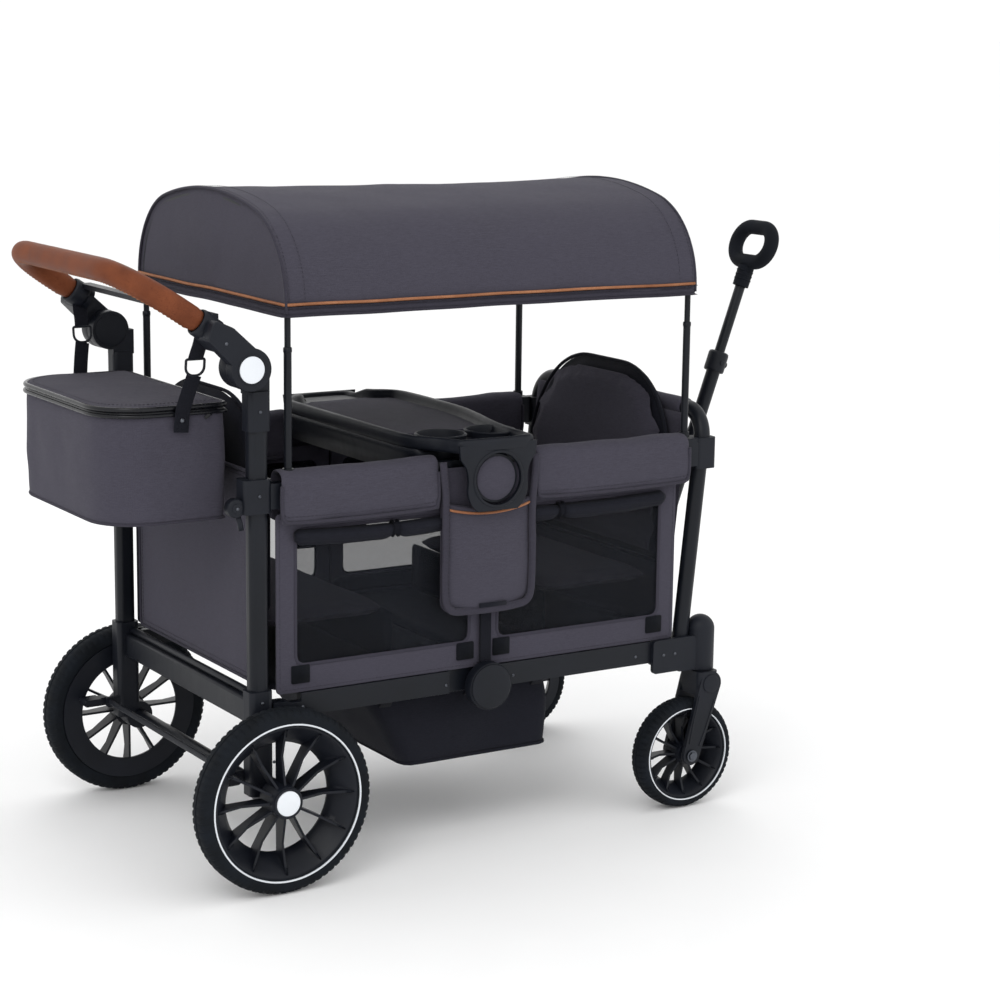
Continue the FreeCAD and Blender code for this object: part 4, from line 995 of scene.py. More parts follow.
lid_rows = [shrunk(lid_edge, scale, bag_high.z + rise) for scale, rise in (
    (1.000, 0.0006), (1.004, 0.0028), (1.000, 0.0050), (0.985, 0.0066), (0.960, 0.0074), (0.90, 0.0080),
    (0.80, 0.0086), (0.65, 0.0092), (0.48, 0.0096), (0.30, 0.0099), (0.12, 0.0100), (0.02, 0.0100))]
lid = Shape().loft(lid_rows, caps=False)
lid.faces.append([11 * len(lid_edge) + i for i in range(len(lid_edge))])
lid.shift(0.07, 0.0022, Z, seed=2.2, where=lambda p: 1.0 if p.z > bag_high.z + 0.006 else 0.1)
bag_top = lid.make("bag_top", GREY)
thicken(bag_top, 0.002, -1)
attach(bag_top, "bag_lid")
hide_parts("bag_lid")
Shape().tube(bag_plan(0.0022, bag_high.z + 0.0030), 0.0040, 10, True).make("bag_top_piping", GLOSSY,
                                                                           "bag_lid")
lid_sewn = Shape().stitches(shrunk(lid_edge, 0.93, bag_high.z + 0.0088), Z, ring=True)
lid_sewn.make("bag_top_stitches", THREAD, "bag_lid")

for side, sign in SIDES.items():
    x = GRIP_START.x
    out = Y * sign
    straps = Shape()
    path = curve([vec(x - 0.0115, sign * 0.2045, 0.731), vec(x - 0.0100, sign * 0.2050, 0.750),
                  vec(x - 0.0080, sign * 0.2072, 0.769), vec(x - 0.0025, sign * 0.2155, 0.797),
                  vec(x + 0.003, sign * 0.2225, 0.821)], 8)
    straps.strap(path, out, 0.025, 0.0022)
    path = curve([vec(x + 0.004, sign * 0.2262, 0.847), vec(x + 0.0055, sign * 0.2320, 0.860),
                  vec(x + 0.0065, sign * 0.2385, 0.872), vec(x + 0.0075, sign * 0.2440, 0.886)], 8)
    straps.strap(path, out, 0.025, 0.0022)
    for shift in (-0.008, 0.008):
        straps.stitches([vec(x - 0.0105 + shift, sign * (0.2078 + (z - 0.735) * 0.02), z)
                         for z in np.linspace(0.735, 0.764, 6)], out)
    made = straps.make(f"bag_strap_{side}", WEBBING)
    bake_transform(made)
    if side == "right":
        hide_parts("bag_straps")
    ring = Shape()
    ring_path = rounded([(-0.0155, -0.014), (0.0155, -0.014), (0.0155, 0.012), (-0.0155, 0.012)],
                        [0.0135, 0.0135, 0.003, 0.003], 8)
    ring.tube([vec(x + 0.004 + a, sign * (0.2245 + b * 0.14), 0.835 + b) for a, b in ring_path], 0.0022, 8,
              True)
    made = ring.make(f"strap_ring_{side}", PLASTIC)
    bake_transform(made)
    Shape().disc(vec(x - 0.010, sign * 0.2060, 0.750), out, 0.0036, 0.0020, 0.001, 0.0008, 24).make(
        f"strap_stud_{side}", STEEL, "bag")


# ---------------------------------------------------------------- tray

tray_low, tray_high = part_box("tray")
HUB_X = (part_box("upper_hub_discs")[0].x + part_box("upper_hub_discs")[1].x) / 2
HUB_Z = (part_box("upper_hub_discs")[0].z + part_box("upper_hub_discs")[1].z) / 2
RIM_TOP = tray_high.z
PAN_LOW = RIM_TOP - 0.024
HALF_END = 0.074


def tray_plan(inset):
    """The tray seen from above: straight at the back, waisted by the cup holders in front."""
    rear_x, front_x, far = tray_low.x + inset, tray_high.x - inset, tray_high.y - inset
    ends = [(HUB_X - HALF_END + inset, -far), (HUB_X + HALF_END - inset * 0.6, -far)]
    front = [(HUB_X + HALF_END + 0.001 - inset, -0.278), (HUB_X + HALF_END + 0.003 - inset, -0.235),
             (HUB_X + 0.088 - inset, -0.165), (front_x - 0.018, -0.085), (front_x - 0.004, -0.01),
             (front_x, 0.07),
             (front_x, 0.165), (front_x - 0.005, 0.215), (front_x - 0.022, 0.243 - inset),
             (HUB_X + 0.082 - inset, 0.256 - inset)]
    far_end = [(HUB_X + HALF_END - 0.010 - inset, 0.276), (HUB_X + HALF_END - 0.020 - inset, far),
               (HUB_X - HALF_END + 0.020 + inset, far), (HUB_X - HALF_END + 0.010 + inset, 0.276)]
    rear = [(HUB_X - 0.084 + inset, 0.256 - inset), (rear_x + 0.022, 0.243 - inset),
            (rear_x + 0.005, 0.210), (rear_x, 0.17), (rear_x, 0.0),
            (rear_x, -0.17), (rear_x + 0.005, -0.225), (rear_x + 0.022, -0.256),
            (HUB_X - 0.088 + inset, -0.276),
            (HUB_X - HALF_END - 0.002 + inset, -0.300)]
    start = [(HUB_X - HALF_END + 0.014 + inset, -far)]
    end = [(HUB_X + HALF_END - 0.014 - inset, -far)]
    points = [vec(a, b, 0) for a, b in start + end + front + far_end + rear]
    return even(curve(points, 10, True), 0.006, True)


tray_rows = []
for inset, z in ((0.012, PAN_LOW), (0.004, PAN_LOW + 0.0015), (0.0015, PAN_LOW + 0.006),
                 (0.0006, RIM_TOP - 0.006),
                 (0.0018, RIM_TOP - 0.0022), (0.0045, RIM_TOP - 0.0005), (0.0075, RIM_TOP),
                 (0.0105, RIM_TOP - 0.0006),
                 (0.0130, RIM_TOP - 0.0028), (0.0145, RIM_TOP - 0.007), (0.0160, PAN_LOW + 0.0105),
                 (0.019, PAN_LOW + 0.0085)):
    tray_rows.append([p + Z * (z - 0.009 * min(1, max(0, (p.y - 0.256) / 0.02))) for p in tray_plan(inset)])
rim_count = 300
tray_rows = same_count(tray_rows, rim_count)
rim = Shape().loft(tray_rows, caps=False)
tray_shell = rim.make("tray_rim", PLASTIC, "tray", weld=1e-5)
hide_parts("tray")
skirt_rows = []
for inset, z in ((0.0045, PAN_LOW + 0.002), (0.009, PAN_LOW - 0.010), (0.013, 0.655), (0.016, 0.630)):
    skirt_rows.append([vec(p.x, max(-0.2405, min(0.2405, p.y)), z) for p in tray_plan(inset)])
skirt = Shape().loft(same_count(skirt_rows, 240), caps=False).make("tray_skirt", PLASTIC, "tray")
thicken(skirt, 0.0024, 0)
CUP_R = 0.038
CUPS = [(-0.105, -0.208), (-0.010, -0.208)]
cup_holes = [circle(c, CUP_R + 0.002, 48) for c in CUPS]
floor_line = [(p.x, p.y) for p in tray_plan(0.018)]
plate("tray_floor", floor_line, cup_holes, (0, 0, PAN_LOW + 0.0065), X, Y, 0.004, 0.0004, PLASTIC, "tray")
under_line = [(p.x, p.y) for p in tray_plan(0.0115)]
plate("tray_underside", under_line, cup_holes, (0, 0, PAN_LOW + 0.0012), X, Y, 0.0022, 0.0003, PLASTIC,
      "tray")
mat_line = [(p.x, max(p.y, -0.150)) for p in tray_plan(0.024) if -0.152 < p.y < 0.236]
mat = plate("tray_mat", mat_line, [], (0, 0, PAN_LOW + 0.0098), X, Y, 0.0026, 0.0009, GREY, "tray")
cups = Shape()
for a, b in CUPS:
    cups.lathe([(0.0005, 0.622), (CUP_R - 0.006, 0.622), (CUP_R - 0.001, 0.626), (CUP_R + 0.0035, 0.668),
                (CUP_R + 0.0042, RIM_TOP - 0.010), (CUP_R + 0.0058, RIM_TOP - 0.0062),
                (CUP_R + 0.004, RIM_TOP - 0.0042),
                (CUP_R + 0.0015, RIM_TOP - 0.0046), (CUP_R, RIM_TOP - 0.009), (CUP_R - 0.0006, 0.668),
                (CUP_R - 0.004, 0.630), (CUP_R - 0.009, 0.6255), (0.0005, 0.6255)], (a, b, 0), Z, 56)
crease(cups.make("tray_cups", PLASTIC, "tray"), 50)
for side, sign in SIDES.items():
    right_side = curve([(HALF_END - 0.003, 0.668, 0), (HALF_END - 0.014, 0.652, 0),
                        (HALF_END - 0.018, 0.632, 0),
                        (HALF_END - 0.017, 0.612, 0), (HALF_END - 0.024, 0.592, 0),
                        (HALF_END - 0.036, tray_low.z + 0.002, 0)], 5)
    points = [(HALF_END, RIM_TOP - 0.009)] + [(p.x, p.y) for p in right_side]
    outline = [(-a, b) for a, b in points] + [(a, b) for a, b in points[::-1]]
    plate(f"tray_apron_{side}", outline, [circle((0, HUB_Z), 0.0425, 64)],
          (HUB_X, sign * (tray_high.y - 0.0037), 0), X, Z, 0.0066, 0.0016, PLASTIC, "tray")
    beads = Shape().lathe([(0.0425, -0.001), (0.043, 0.0012), (0.0452, 0.0022), (0.0474, 0.0012),
                           (0.048, -0.001)],
                          (HUB_X, sign * (tray_high.y - 0.0008), HUB_Z), Y * sign, 72, True)
    beads.make(f"apron_bead_{side}", PLASTIC, "tray")


# ---------------------------------------------------------------- hub pieces

disc_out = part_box("upper_hub_discs")[1].y
low_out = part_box("lower_hub_discs")[1].y
LOW_HUB = vec(HUB_X, 0, (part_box("lower_hub_discs")[0].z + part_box("lower_hub_discs")[1].z) / 2)
patches, discs = Shape(), Shape()
for side, sign in SIDES.items():
    out = Y * sign
    patches.disc(vec(HUB_X, sign * (disc_out - 0.0004), HUB_Z), out, 0.0365, 0.0016, 0.0008, 0.0022, 56)
    discs.disc(LOW_HUB + out * (low_out - 0.0006), out, 0.0375, 0.0030, 0.0022, 0.0018, 56)
    discs.lathe([(0.0378, -0.004), (0.0382, 0.0006), (0.0394, 0.0010), (0.0402, -0.0004), (0.0403, -0.008)],
                LOW_HUB + out * (low_out - 0.0006), out, 56)
patches.make("hub_cloth_patches", GREY, "hubs")
discs.make("lower_hub_caps", PLASTIC, "hubs")

pocket_low, pocket_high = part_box("side_pockets")
for side, sign in SIDES.items():
    out = Y * sign
    wide = pocket_high.x - pocket_low.x
    tall = pocket_high.z - pocket_low.z
    face_y = pocket_high.y

    def droop(share):
        """How far the pocket's open edge hangs below its corners."""
        return 0.011 * sin(pi * share) ** 0.8

    rows = []
    across_count, up_count = 30, 34
    for k in range(up_count + 1):
        share = k / up_count
        row = []
        for i in range(across_count + 1):
            a = i / across_count
            top = tall - droop(a)
            z = pocket_low.z + 0.003 + (top - 0.003) * share
            corner = max(0.0, 0.022 - (z - pocket_low.z))
            pinch = corner - sqrt(max(0, 0.022 ** 2 - corner ** 2)) + 0.0 if corner > 0 else -0.022
            inset = max(0.0, 0.022 + pinch) if corner > 0 else 0.0
            x = pocket_low.x + 0.004 + inset + (wide - 0.008 - 2 * inset) * a
            edge = min(a, 1 - a) * 2
            belly = 0.010 * (1 - (1 - edge) ** 3) * (0.35 + 0.65 * sin(pi * min(1, 0.12 + share * 0.82)))
            row.append(vec(x, sign * (face_y - 0.012 + belly), z))
        rows.append(row)
    pocket = Shape().loft(rows, loops=False)
    pocket.shift(0.06, 0.0022, out, seed=4.4 + sign)
    made = pocket.make(f"pocket_face_{side}", GREY)
    thicken(made, 0.0022, 0)
    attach(made, "hubs")
    if side == "right":
        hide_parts("side_pockets")
    line = box_outline((pocket_low.x, pocket_low.z), (pocket_high.x, pocket_high.z + 0.06),
                       [0.022, 0.022, 0.004, 0.004], 6)
    plate(f"pocket_back_{side}", line, [circle((HUB_X, HUB_Z), 0.0412, 48)],
          (0, sign * (pocket_low.y * -1 - 0.0165), 0), X, Z, 0.0018, 0.0005, GREY_BINDING, "hubs")
    binding = Shape()
    right_x, left_x = pocket_high.x - 0.002, pocket_low.x + 0.002
    edge = [(-0.004, 0.664), (-0.001, 0.630), (0.002, 0.590), (0.002, 0.520), (0.002, 0.445),
            (0.010, 0.419),
            (0.034, 0.4125)]
    border = both_ends(edge, left_x, right_x, (HUB_X, 0.4115), sign * 0.2945)
    border = even(curve(border, 8), 0.006)
    binding.strap(border, out, 0.013, 0.0052)
    binding.shift(0.05, 0.0012, seed=6.6)
    binding.make(f"pocket_binding_{side}", GREY_BINDING, "hubs")
    sewn = Shape()
    inner = [p + vec(0.0045 if p.x < HUB_X - 0.04 else -0.0045 if p.x > HUB_X + 0.04 else 0, sign * 0.0031,
                         0.0045 if p.z < 0.43 else 0) for p in border]
    sewn.stitches(inner[3:-3], out)
    sewn.make(f"pocket_stitches_{side}", THREAD, "hubs")
    top_line = [vec(pocket_low.x + 0.008 + (wide - 0.016) * a,
                    sign * (face_y - 0.0005 - 0.006 * abs(2 * a - 1) ** 3),
                        pocket_high.z - 0.006 - droop(a)) for a in np.linspace(0, 1, 24)]
    Shape().tube(top_line, 0.0022, 8).make(f"pocket_piping_{side}", TAN_CORD, "hubs")
    Shape().strap([p + vec(0, sign * -0.0008, 0.0055) for p in top_line], Z, 0.0042, 0.010).make(
        f"pocket_edge_{side}", GREY_BINDING, "hubs")
    Shape().strap([vec(HUB_X - 0.024, sign * 0.2985, 0.4195), vec(HUB_X + 0.028, sign * 0.2985, 0.4195)],
                  out,
                  0.0075, 0.0016).make(f"pocket_slot_{side}", BLACK_CLOTH, "hubs")


# ---------------------------------------------------------------- rail covers

for end in ("rear", "front"):
    low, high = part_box(f"rail_covers_{end}")
    outer_y, inner_y = high.y - 0.0026, 0.2486
    for side, sign in SIDES.items():
        rows = []
        x_count = 40
        top_z = high.z - 0.003
        mid = (outer_y + inner_y) / 2
        half = (outer_y - inner_y) / 2
        for k in range(x_count + 1):
            share = k / x_count
            x = low.x + 0.004 + (high.x - low.x - 0.008) * share
            slack = 0.0035 * sin(pi * share)
            profile = [(outer_y - 0.001, low.z + 0.002 - 0.002 * sin(pi * share)), (outer_y, low.z + 0.012),
                       (outer_y + slack * 0.5, low.z + 0.030), (outer_y + slack * 0.4, low.z + 0.050)]
            profile += [(mid + half * cos(a), top_z - half * 0.8 + half * 0.8 * sin(a) - slack * 0.5)
                        for a in np.linspace(0.15, pi - 0.15, 12)]
            profile += [(inner_y - slack * 0.3, low.z + 0.050), (inner_y, low.z + 0.028),
                        (inner_y + 0.001, low.z + 0.004)]
            rows.append([vec(x, sign * y, z) for y, z in profile])
        cover = Shape().loft(rows, loops=False)
        cover.shift(0.07, 0.0030, seed=1.3 + sign + (2 if end == "rear" else 0)).shift(0.025, 0.0008,
                                                                                       seed=9.1)
        made = cover.make(f"rail_cover_{end}_{side}", GREY)
        thicken(made, 0.0042, 0)
        subdivide(made)
        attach(made, f"upper_{end}_rails")
        if side == "right":
            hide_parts(f"rail_covers_{end}")
        out = Y * sign
        trim, thread = Shape(), Shape()
        for y, away in ((outer_y + 0.0022, 1), (inner_y - 0.0022, -1)):
            corner = [(0.005, top_z - 0.022), (0.0045, low.z + 0.030), (0.008, low.z + 0.010),
                      (0.024, low.z + 0.004)]
            edge = both_ends(corner, low.x, high.x, ((low.x + high.x) / 2, low.z + 0.002), sign * y)
            edge = even(curve(edge, 8), 0.008)
            edge = [p + out * away * 0.0012 * sin(pi * (p.x - low.x) / (high.x - low.x)) for p in edge]
            trim.tube(edge, 0.0031, 8)
            inner = [p + Z * 0.0095 for p in edge if low.z + 0.012 > p.z]
            thread.stitches([p + out * away * 0.0006 for p in inner], out * away)
        trim.make(f"cover_binding_{end}_{side}", GREY_BINDING, f"upper_{end}_rails")
        thread.make(f"cover_stitches_{end}_{side}", THREAD, f"upper_{end}_rails")


# ---------------------------------------------------------------- side walls with their windows

BORDER, SILL = 0.034, 0.036
for end in ("rear", "front"):
    soft = SOFT_END[end]
    for side, sign in SIDES.items():
        node = f"side_wall_{end}_{side}"
        low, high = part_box(node)
        out = Y * sign
        y = sign * (max(abs(low.y), abs(high.y)) - 0.003)
        low_x, high_x, low_z = low.x + 0.001, high.x - 0.001, low.z - 0.0035
        top_z = 0.602
        window = [(low_x + (BORDER if end == "rear" else 0.024), low_z + SILL + 0.0085),
                  (high_x - (0.026 if end == "rear" else BORDER), top_z - 0.028)]
        hole = box_outline(window[0], window[1], 0.014, 5)
        panel = plate(f"wall_frame_{end}_{side}", box_outline((low_x, low_z), (high_x, top_z), 0.008, 3),
                      [hole],
                      (0, y, 0), X, Z, 0.0040, 0.0016, GREY)
        soft(panel)
        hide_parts(node)
        wide, tall = window[1][0] - window[0][0], window[1][1] - window[0][1]
        rows = []
        for k in range(25):
            rows.append([vec(window[0][0] - 0.006 + (wide + 0.012) * i / 36, y - sign * 0.0012,
                                 window[0][1] - 0.006 + (tall + 0.012) * k / 24) for i in range(37)])
        sheet = Shape().loft(rows, loops=False)
        for p in sheet.points:
            a, b = (p.x - window[0][0]) / wide, (p.z - window[0][1]) / tall
            free = max(0, min(1, 6 * a, 6 * (1 - a), 6 * b, 6 * (1 - b)))
            wave = sin(7.0 * (a * 0.9 + b * 1.1) + sign) + 0.6 * sin(13.0 * (a - 0.35 * b))
            p.y += sign * free * 0.0016 * (wave - 0.9)
        netting = sheet.make(f"window_net_{end}_{side}", NET)
        soft(netting)
        trim, thread = Shape(), Shape()
        window_line = [vec(a, y + sign * 0.0016, b) for a, b in hole]
        trim.strap(even(window_line, 0.01, True), out, 0.006, 0.0026, True)
        outer_line = [vec(a, y + sign * 0.0021, b) for a, b in
                      box_outline((low_x + 0.006, low_z + 0.006), (high_x - 0.006, top_z - 0.006), 0.006,
                                  3)]
        thread.stitches(outer_line, out, ring=True)
        soft(trim.make(f"window_edge_{end}_{side}", GREY_BINDING))
        soft(thread.make(f"wall_stitches_{end}_{side}", THREAD))
        tape = Shape()
        for x in (window[0][0] + 0.008, window[1][0] - 0.008):
            rows = [[vec(x + a, y + sign * 0.0026, window[0][1] - 0.0145 + b) for a, b in
                     box_outline((-0.0160, -0.0145), (0.0160, 0.0145), 0.0015, 2)]]
            rows.append([p + out * 0.0018 for p in rows[0]])
            rows.insert(0, [p - out * 0.0010 for p in rows[0]])
            tape.loft(rows)
        soft(tape.make(f"hook_tape_{end}_{side}", HOOK_TAPE))
        roll_z = window[1][1] - 0.006
        tie_x = window[0][0] + wide * (0.55 if end == "rear" else 0.36)
        roll_line, radii = [], []
        for i in range(45):
            x = window[0][0] - 0.004 + (wide + 0.008) * i / 44
            pinch = exp(-((x - tie_x) / 0.012) ** 2)
            roll_line.append(vec(x, y + sign * 0.0085,
                                 roll_z - 0.004 - 0.006 * sin(pi * i / 44) + 0.003 * pinch))
            end_fade = min(1, min(i, 44 - i) / 2 + 0.55)
            radii.append((0.0125 - 0.0045 * pinch) * end_fade * (1
                                                                 + 0.10 * noise.noise(vec(x * 24, sign,
                                                                                          2))))
        roll = Shape()
        turns = []
        for i in range(len(roll_line)):
            ring = []
            for k in range(26):
                a = 2 * pi * k / 26
                fold = 1 + 0.10 * sin(3 * a + 0.8) + 0.05 * sin(7 * a + x * 30 + i * 0.13)
                ring.append(roll_line[i] + out * cos(a) * radii[i] * 0.72 * fold
                            + Z * sin(a) * radii[i] * fold)
            turns.append(ring)
        roll.loft(turns)
        soft(roll.make(f"rolled_flap_{end}_{side}", BLACK_CLOTH))
        tie = Shape()
        k = min(range(45), key=lambda i: abs(roll_line[i].x - tie_x))
        tie.strap([roll_line[k] + out * cos(a) * 0.0082 + Z * sin(a) * 0.0105
                   for a in (2 * pi * j / 28 for j in range(28))], X, 0.0008, 0.010, True)
        soft(tie.make(f"flap_tie_{end}_{side}", WEBBING))


# ---------------------------------------------------------------- end panels and front pockets

for end, sign in (("rear", -1), ("front", 1)):
    soft = SOFT_END[end]
    low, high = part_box(f"{end}_panel")
    lean = FRONT_LEAN if end == "front" else 0.0
    rise = leaning(lean)
    face = Y.cross(rise) * (1 if end == "front" else -1)
    foot_x = low.x + 0.003 if end == "front" else (low.x + high.x) / 2
    half, tall = high.y - 0.002, (high.z - low.z) / cos(lean) + (0.042 if end == "front" else 0.006)
    foot = vec(foot_x, 0, low.z - 0.008)
    rows = []
    for k in range(29):
        rows.append([foot + rise * tall * k / 28 + Y * half * (2 * i / 36 - 1) for i in range(37)])
    panel = Shape().loft(rows, loops=False)
    for p in panel.points:
        a, b = (p.y / half + 1) / 2, (p.z - foot.z) / tall
        free = max(0, min(1, 5 * a, 5 * (1 - a))) * max(0, min(1, 5 * b, 5 * (1 - b)))
        p += face * free * (0.0012 + 0.0016 * noise.noise(vec(p.y * 7, p.z * 11, sign)))
    made = panel.make(f"{end}_panel_cloth", GREY)
    thicken(made, 0.0034, 0)
    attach(made, f"{end}_frame")
    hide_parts(f"{end}_panel")
    trim, thread = Shape(), Shape()
    edge, inner = [[foot + Y * a + rise * b + face * away
                    for a, b in box_outline((-half + inset, inset), (half - inset, tall - inset), 0.006, 3)]
                   for inset, away in ((0.002, 0.0022), (0.012, 0.0024))]
    trim.tube(even(edge, 0.01, True), 0.0028, 8, True)
    thread.stitches(inner, face, ring=True)
    trim.make(f"{end}_panel_piping", GREY_BINDING, f"{end}_frame")
    thread.make(f"{end}_panel_stitches", THREAD, f"{end}_frame")


tube_foot = vec(0.353, 0, 0.303)
rise = leaning(FRONT_LEAN)
over = [vec(0, y, 0) for y in np.linspace(-0.206, 0.206, 42)]
sleeve = Shape().tube([tube_foot + rise * 0.402 + p for p in over], 0.0166, 20)
sleeve.shift(0.05, 0.0009, seed=2.9)
sleeve.make("front_tube_sleeve", GREY, "front_frame")

pocket_base_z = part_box("front_pockets")[0].z
front_face = Y.cross(rise)
foot = vec(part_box("front_pockets")[0].x + 0.001, 0, pocket_base_z)
for name, middle, wide in (("flap", -0.088, 0.210), ("bottle", 0.128, 0.120)):
    half, deep, tall = wide / 2 - 0.003, 0.044, 0.196
    rows = []
    for k in range(24):
        share = k / 23
        belly = sin(pi * min(1, 0.15 + 0.8 * share))
        reach = deep * (0.62 + 0.38 * belly) * min(1.0, 0.35 + share * 6)
        loop = rounded([(-half, 0.0), (half, 0.0), (half - 0.002, reach), (-half + 0.002, reach)],
                       [0.004, 0.004, 0.018, 0.018], 5)
        row = even([foot + Y * (middle + a) + front_face * b + rise * (0.003 + (tall - 0.006) * share)
                    for a, b in loop], 0.01, True)
        rows.append(row)
    count = 56
    rows = same_count(rows, count)
    pocket = Shape().loft(rows, caps=False)
    pocket.faces.append(list(range(count))[::-1])
    pocket.shift(0.05, 0.002, seed=3.3 + middle)
    made = pocket.make(f"front_pocket_{name}", GREY)
    thicken(made, 0.0022, -1)
    subdivide(made)
    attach(made, "front_frame")
    if name == "flap":
        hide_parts("front_pockets")
    mouth = [p + rise * 0.001 for p in rows[-1]]
    Shape().tube(mouth, 0.0024, 8, True).make(f"front_pocket_piping_{name}", TAN_CORD, "front_frame")


# ---------------------------------------------------------------- seats, backrests and floor

for end, sign in (("rear", 1), ("front", -1)):
    soft = SOFT_END[end]
    low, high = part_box(f"{end}_backrest")
    lean = FRONT_LEAN if end == "front" else 0.0
    rise = leaning(lean)
    half, tall = high.y, (high.z - low.z) / cos(lean) - 0.002
    u = Y * sign
    face = u.cross(rise)
    corner_r = 0.165
    outline = [(half - 0.004, 0.004), (half - 0.003, tall - corner_r - 0.02)]
    outline += [(half - 0.003 - corner_r * (1 - cos(a)),
                 tall - corner_r - 0.02 + (corner_r + 0.014) * sin(a))
                for a in np.linspace(0.12, pi / 2, 14)]
    outline = outline + [(-a, b) for a, b in outline[::-1]]
    outline = even([vec(a, b, 0) for a, b in outline], 0.012, True)
    outline = [(p.x, p.y) for p in outline]
    base = vec(low.x + 0.016, 0, low.z + 0.001)
    pad = cushion(f"{end}_back_pad", [(a * 0.985, 0.006 + b * 0.975) for a, b in outline],
                  base + face * 0.002, u, rise, 0.021,
                  GREY)
    stuff(pad, 0.0045)
    soft(pad)
    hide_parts(f"{end}_backrest")
    back = cushion(f"{end}_back_board", [(a * 0.994, 0.003 + b * 0.99) for a, b in outline],
                   base - face * 0.0105, u, rise, 0.008,
                   BLACK_CLOTH, full=5)
    soft(back)
    trim, thread = Shape(), Shape()
    trim.tube([base + u * a + rise * b + face * -0.004 for a, b in outline], 0.0032, 8, True)
    soft(trim.make(f"{end}_back_piping", BLACK_CLOTH))
    inner = [(a * 0.66, b * 0.70 + 0.02) for a, b in outline if b > tall * 0.3]
    thread.stitches([base + u * a + rise * b + face * 0.0146 for a, b in inner], face)
    soft(thread.make(f"{end}_back_stitches", THREAD))

    low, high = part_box(f"{end}_seat")
    top_z = high.z - 0.017
    length = high.x - low.x
    seat_line = box_outline((low.x + 0.004, low.y + 0.004), (high.x - 0.004, high.y - 0.004), 0.028, 5)
    seat_line = even([vec(a, b, 0) for a, b in seat_line], 0.012, True)
    seat = cushion(f"{end}_seat_pad", [(p.x, p.y) for p in seat_line], (0, 0, top_z), X, Y, 0.027, GREY,
                   full=3)
    stuff(seat, 0.004)
    soft(seat)
    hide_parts(f"{end}_seat")
    edge_x = high.x if end == "rear" else low.x
    panel = cushion(f"{end}_seat_front",
                    box_outline((low.y + 0.004, low.z + 0.003), (high.y - 0.004, top_z - 0.004), 0.012, 3),
                    (edge_x - sign * 0.0055, 0, 0), Y, Z, 0.009, BLACK_CLOTH, full=5)
    soft(panel)
    low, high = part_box(f"floor_{end}")
    line = even([vec(a, b, 0) for a,
                 b in box_outline((low.x + (0.001 if end == "front" else -0.006), low.y - 0.013),
                                                          (high.x + (0.010 if end == "front" else -0.001),
                                                           high.y + 0.013), 0.01, 3)], 0.012, True)
    mattress = cushion(f"{end}_floor_pad", [(p.x, p.y) for p in line], (0, 0, (low.z + high.z) / 2), X, Y,
                       high.z - low.z - 0.0006,
                       BLACK_CLOTH, full=5)
    soft(mattress)
    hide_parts(f"floor_{end}")
    for side, side_sign in SIDES.items():
        low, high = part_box(f"side_wall_{end}_{side}")
        y = side_sign * (min(abs(low.y), abs(high.y)) - 0.006)
        line = box_outline((low.x + 0.004, 0.322), (high.x - 0.004, 0.352), 0.006, 3)
        liner = cushion(f"side_bolster_{end}_{side}",
                        [(p.x, p.y) for p in even([vec(a, b, 0) for a, b in line], 0.01, True)],
                        (0, y, 0), X, Z, 0.009, BLACK_CLOTH, full=4)
        soft(liner)


# ---------------------------------------------------------------- under basket

low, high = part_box("under_basket")
RAKE = 0.070
rows = []
for k in range(6):
    share = (k + 0.5) / 6
    loop = box_outline((low.x + RAKE + (high.x - low.x - RAKE) * (0.5 - 0.5 * share), low.y * share),
                       (high.x - (high.x - low.x - RAKE) * (0.5 - 0.5 * share), high.y * share), 0.02, 4)
    rows.append([vec(a, b, low.z + 0.001) for a, b in loop])
for k in range(1, 15):
    share = k / 14
    bulge = 0.004 * sin(pi * share)
    loop = box_outline((low.x + RAKE * (1 - share) + 0.004 - bulge, low.y + 0.004 - bulge),
                       (high.x - 0.004 + bulge, high.y - 0.004 + bulge), 0.02, 4)
    rows.append([vec(a, b, low.z + 0.001 + (high.z - low.z - 0.004) * share) for a, b in loop])
rows = same_count(rows, 120)
basket = Shape().loft(rows, caps=False)
basket.faces.append(list(range(120))[::-1])
basket.shift(0.09, 0.006, seed=7.7, where=lambda p: max(0.1, sin(pi * (p.z - low.z) / (high.z - low.z))))
made = basket.make("basket_cloth", BLACK_CLOTH)
thicken(made, 0.0024, -1)
subdivide(made)
crumple(made, "hubs")
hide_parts("under_basket")
trim = Shape()
trim.tube([p + Z * 0.001 for p in rows[-1]], 0.0036, 8, True)
trim.tube([p + Z * 0.0002 for p in rows[6]], 0.0028, 8, True)
made = trim.make("basket_piping", BLACK_CLOTH)
crumple(made, "hubs")
loops = Shape()
for x in (low.x + 0.03, HUB_X, high.x - 0.03):
    for side, sign in SIDES.items():
        loops.strap([vec(x, sign * (high.y - 0.002), high.z - 0.012),
                     vec(x, sign * (high.y + 0.010), high.z + 0.004),
                     vec(x, sign * 0.262, high.z + 0.008)], Y * sign, 0.022, 0.0018)
made = loops.make("basket_loops", WEBBING)
crumple(made, "hubs")


# ---------------------------------------------------------------- screws, levers and small fittings

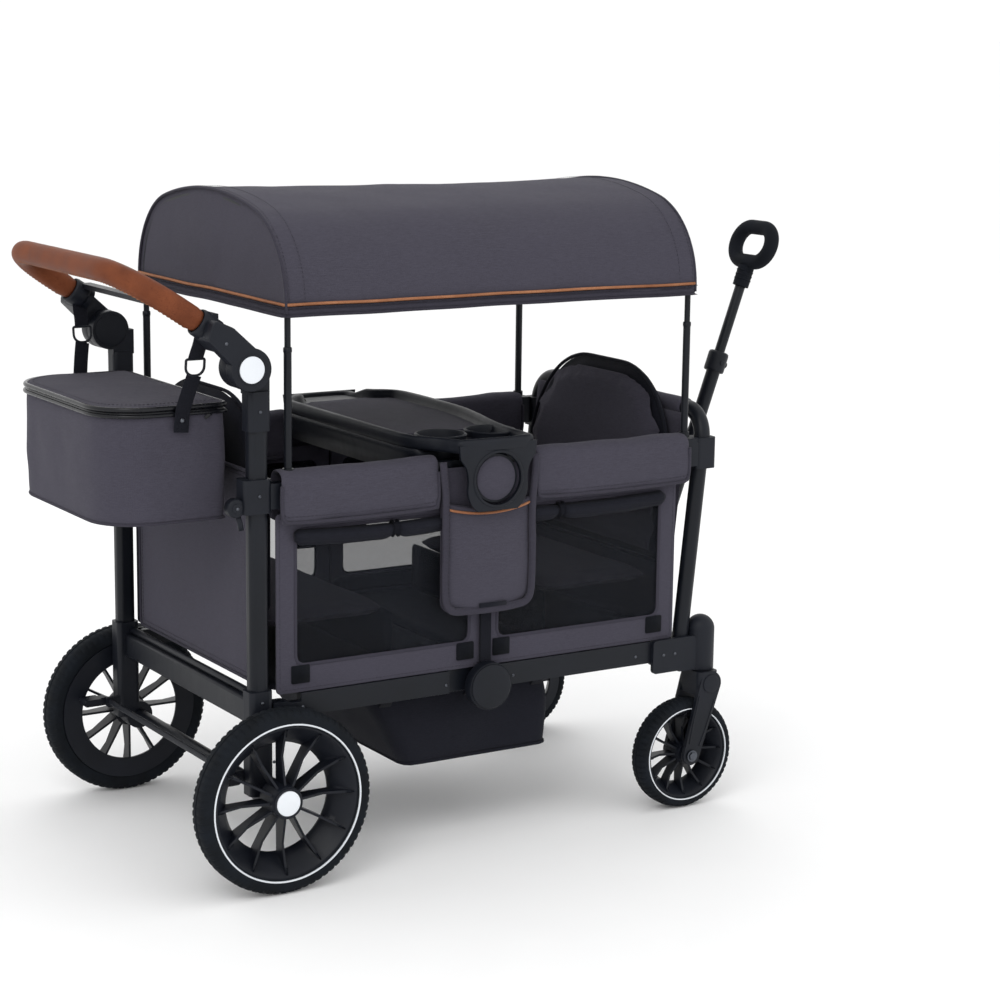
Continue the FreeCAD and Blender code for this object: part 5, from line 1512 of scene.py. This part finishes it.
frame_screws, front_screws, levers = Shape(), Shape(), Shape()
rail_screws = {"lower_rear_rails": Shape(), "lower_front_rails": Shape()}
bracket_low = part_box("rear_rail_brackets")[0]
for side, sign in SIDES.items():
    out = Y * sign
    frame_screws.screw(vec(bracket_low.x + 0.026, sign * 0.2801, 0.634), out)
    frame_screws.screw(vec(-0.468, sign * 0.2782, 0.766), out)
    frame_screws.screw(vec(-0.468, sign * 0.2792, 0.302), out)
    lever = vec(bracket_low.x - 0.010, sign * 0.262, 0.617)
    levers.disc(lever - out * 0.004, out, 0.015, 0.016, 0.003, 0.001, 36)
    levers.disc(lever + out * 0.0115, out, 0.0085, 0.003, 0.0015, 0.0006, 28)
    levers.strap([lever + vec(0.004, sign * 0.004, -0.010), lever + vec(0.008, sign * 0.005, -0.024),
                  lever + vec(0.010, sign * 0.005, -0.036)], out, 0.009, 0.007)
    levers.strap([lever, lever + vec(0.016, 0, 0.002)], out, 0.012, 0.010)
    frame_screws.screw(lever + out * 0.0146, out, 0.0028)
    for x in (0.300, 0.324):
        front_screws.screw(vec(x + 0.004, sign * 0.2840, 0.284), out)
    for x, body in ((-0.395, "lower_rear_rails"), (-0.13, "lower_rear_rails"), (0.0, "lower_front_rails"),
                    (0.25, "lower_front_rails")):
        rail_screws[body].screw(vec(x, sign * 0.2759, 0.286), out)
    frame_screws.screw(vec(-0.450, sign * 0.2832, 0.205), out)
frame_screws.make("frame_screws", STEEL, "rear_frame")
front_screws.make("front_screws", STEEL, "front_frame")
levers.make("post_levers", PLASTIC, "rear_frame")
for body, shape in rail_screws.items():
    shape.make(f"{body}_screws", STEEL, body)

pull_way = leaning(radians(20))
pull_foot = vec(0.440, 0, 0.270)
collar = Shape()
collar.lathe([(0.0165, 0.486), (0.0182, 0.4865), (0.0190, 0.490), (0.0190, 0.519), (0.0178, 0.523),
              (0.0150, 0.5245),
              (0.0105, 0.5248), (0.0102, 0.520)], pull_foot, pull_way, 48)
collar.make("pull_collar", PLASTIC, "pull_handle")
button = Shape()
side_way = pull_way.cross(Y)
button.disc(pull_foot + pull_way * 0.504 - side_way * 0.0186, -side_way, 0.0062, 0.0045, 0.0015, 0.0008, 28)
button.disc(pull_foot + pull_way * 0.504 - Y * 0.0186, -Y, 0.0050, 0.0016, 0.0008, 0.0004, 24)
button.make("pull_button", PLASTIC, "pull_handle")
grooves = Shape()
for h in (0.664, 0.672, 0.680):
    grooves.lathe([(0.0148, h), (0.0158, h + 0.0008), (0.0158, h + 0.0024), (0.0148, h + 0.0032)],
                  pull_foot, pull_way, 40, True)
grooves.make("pull_socket_ribs", GRIP, "pull_rod")
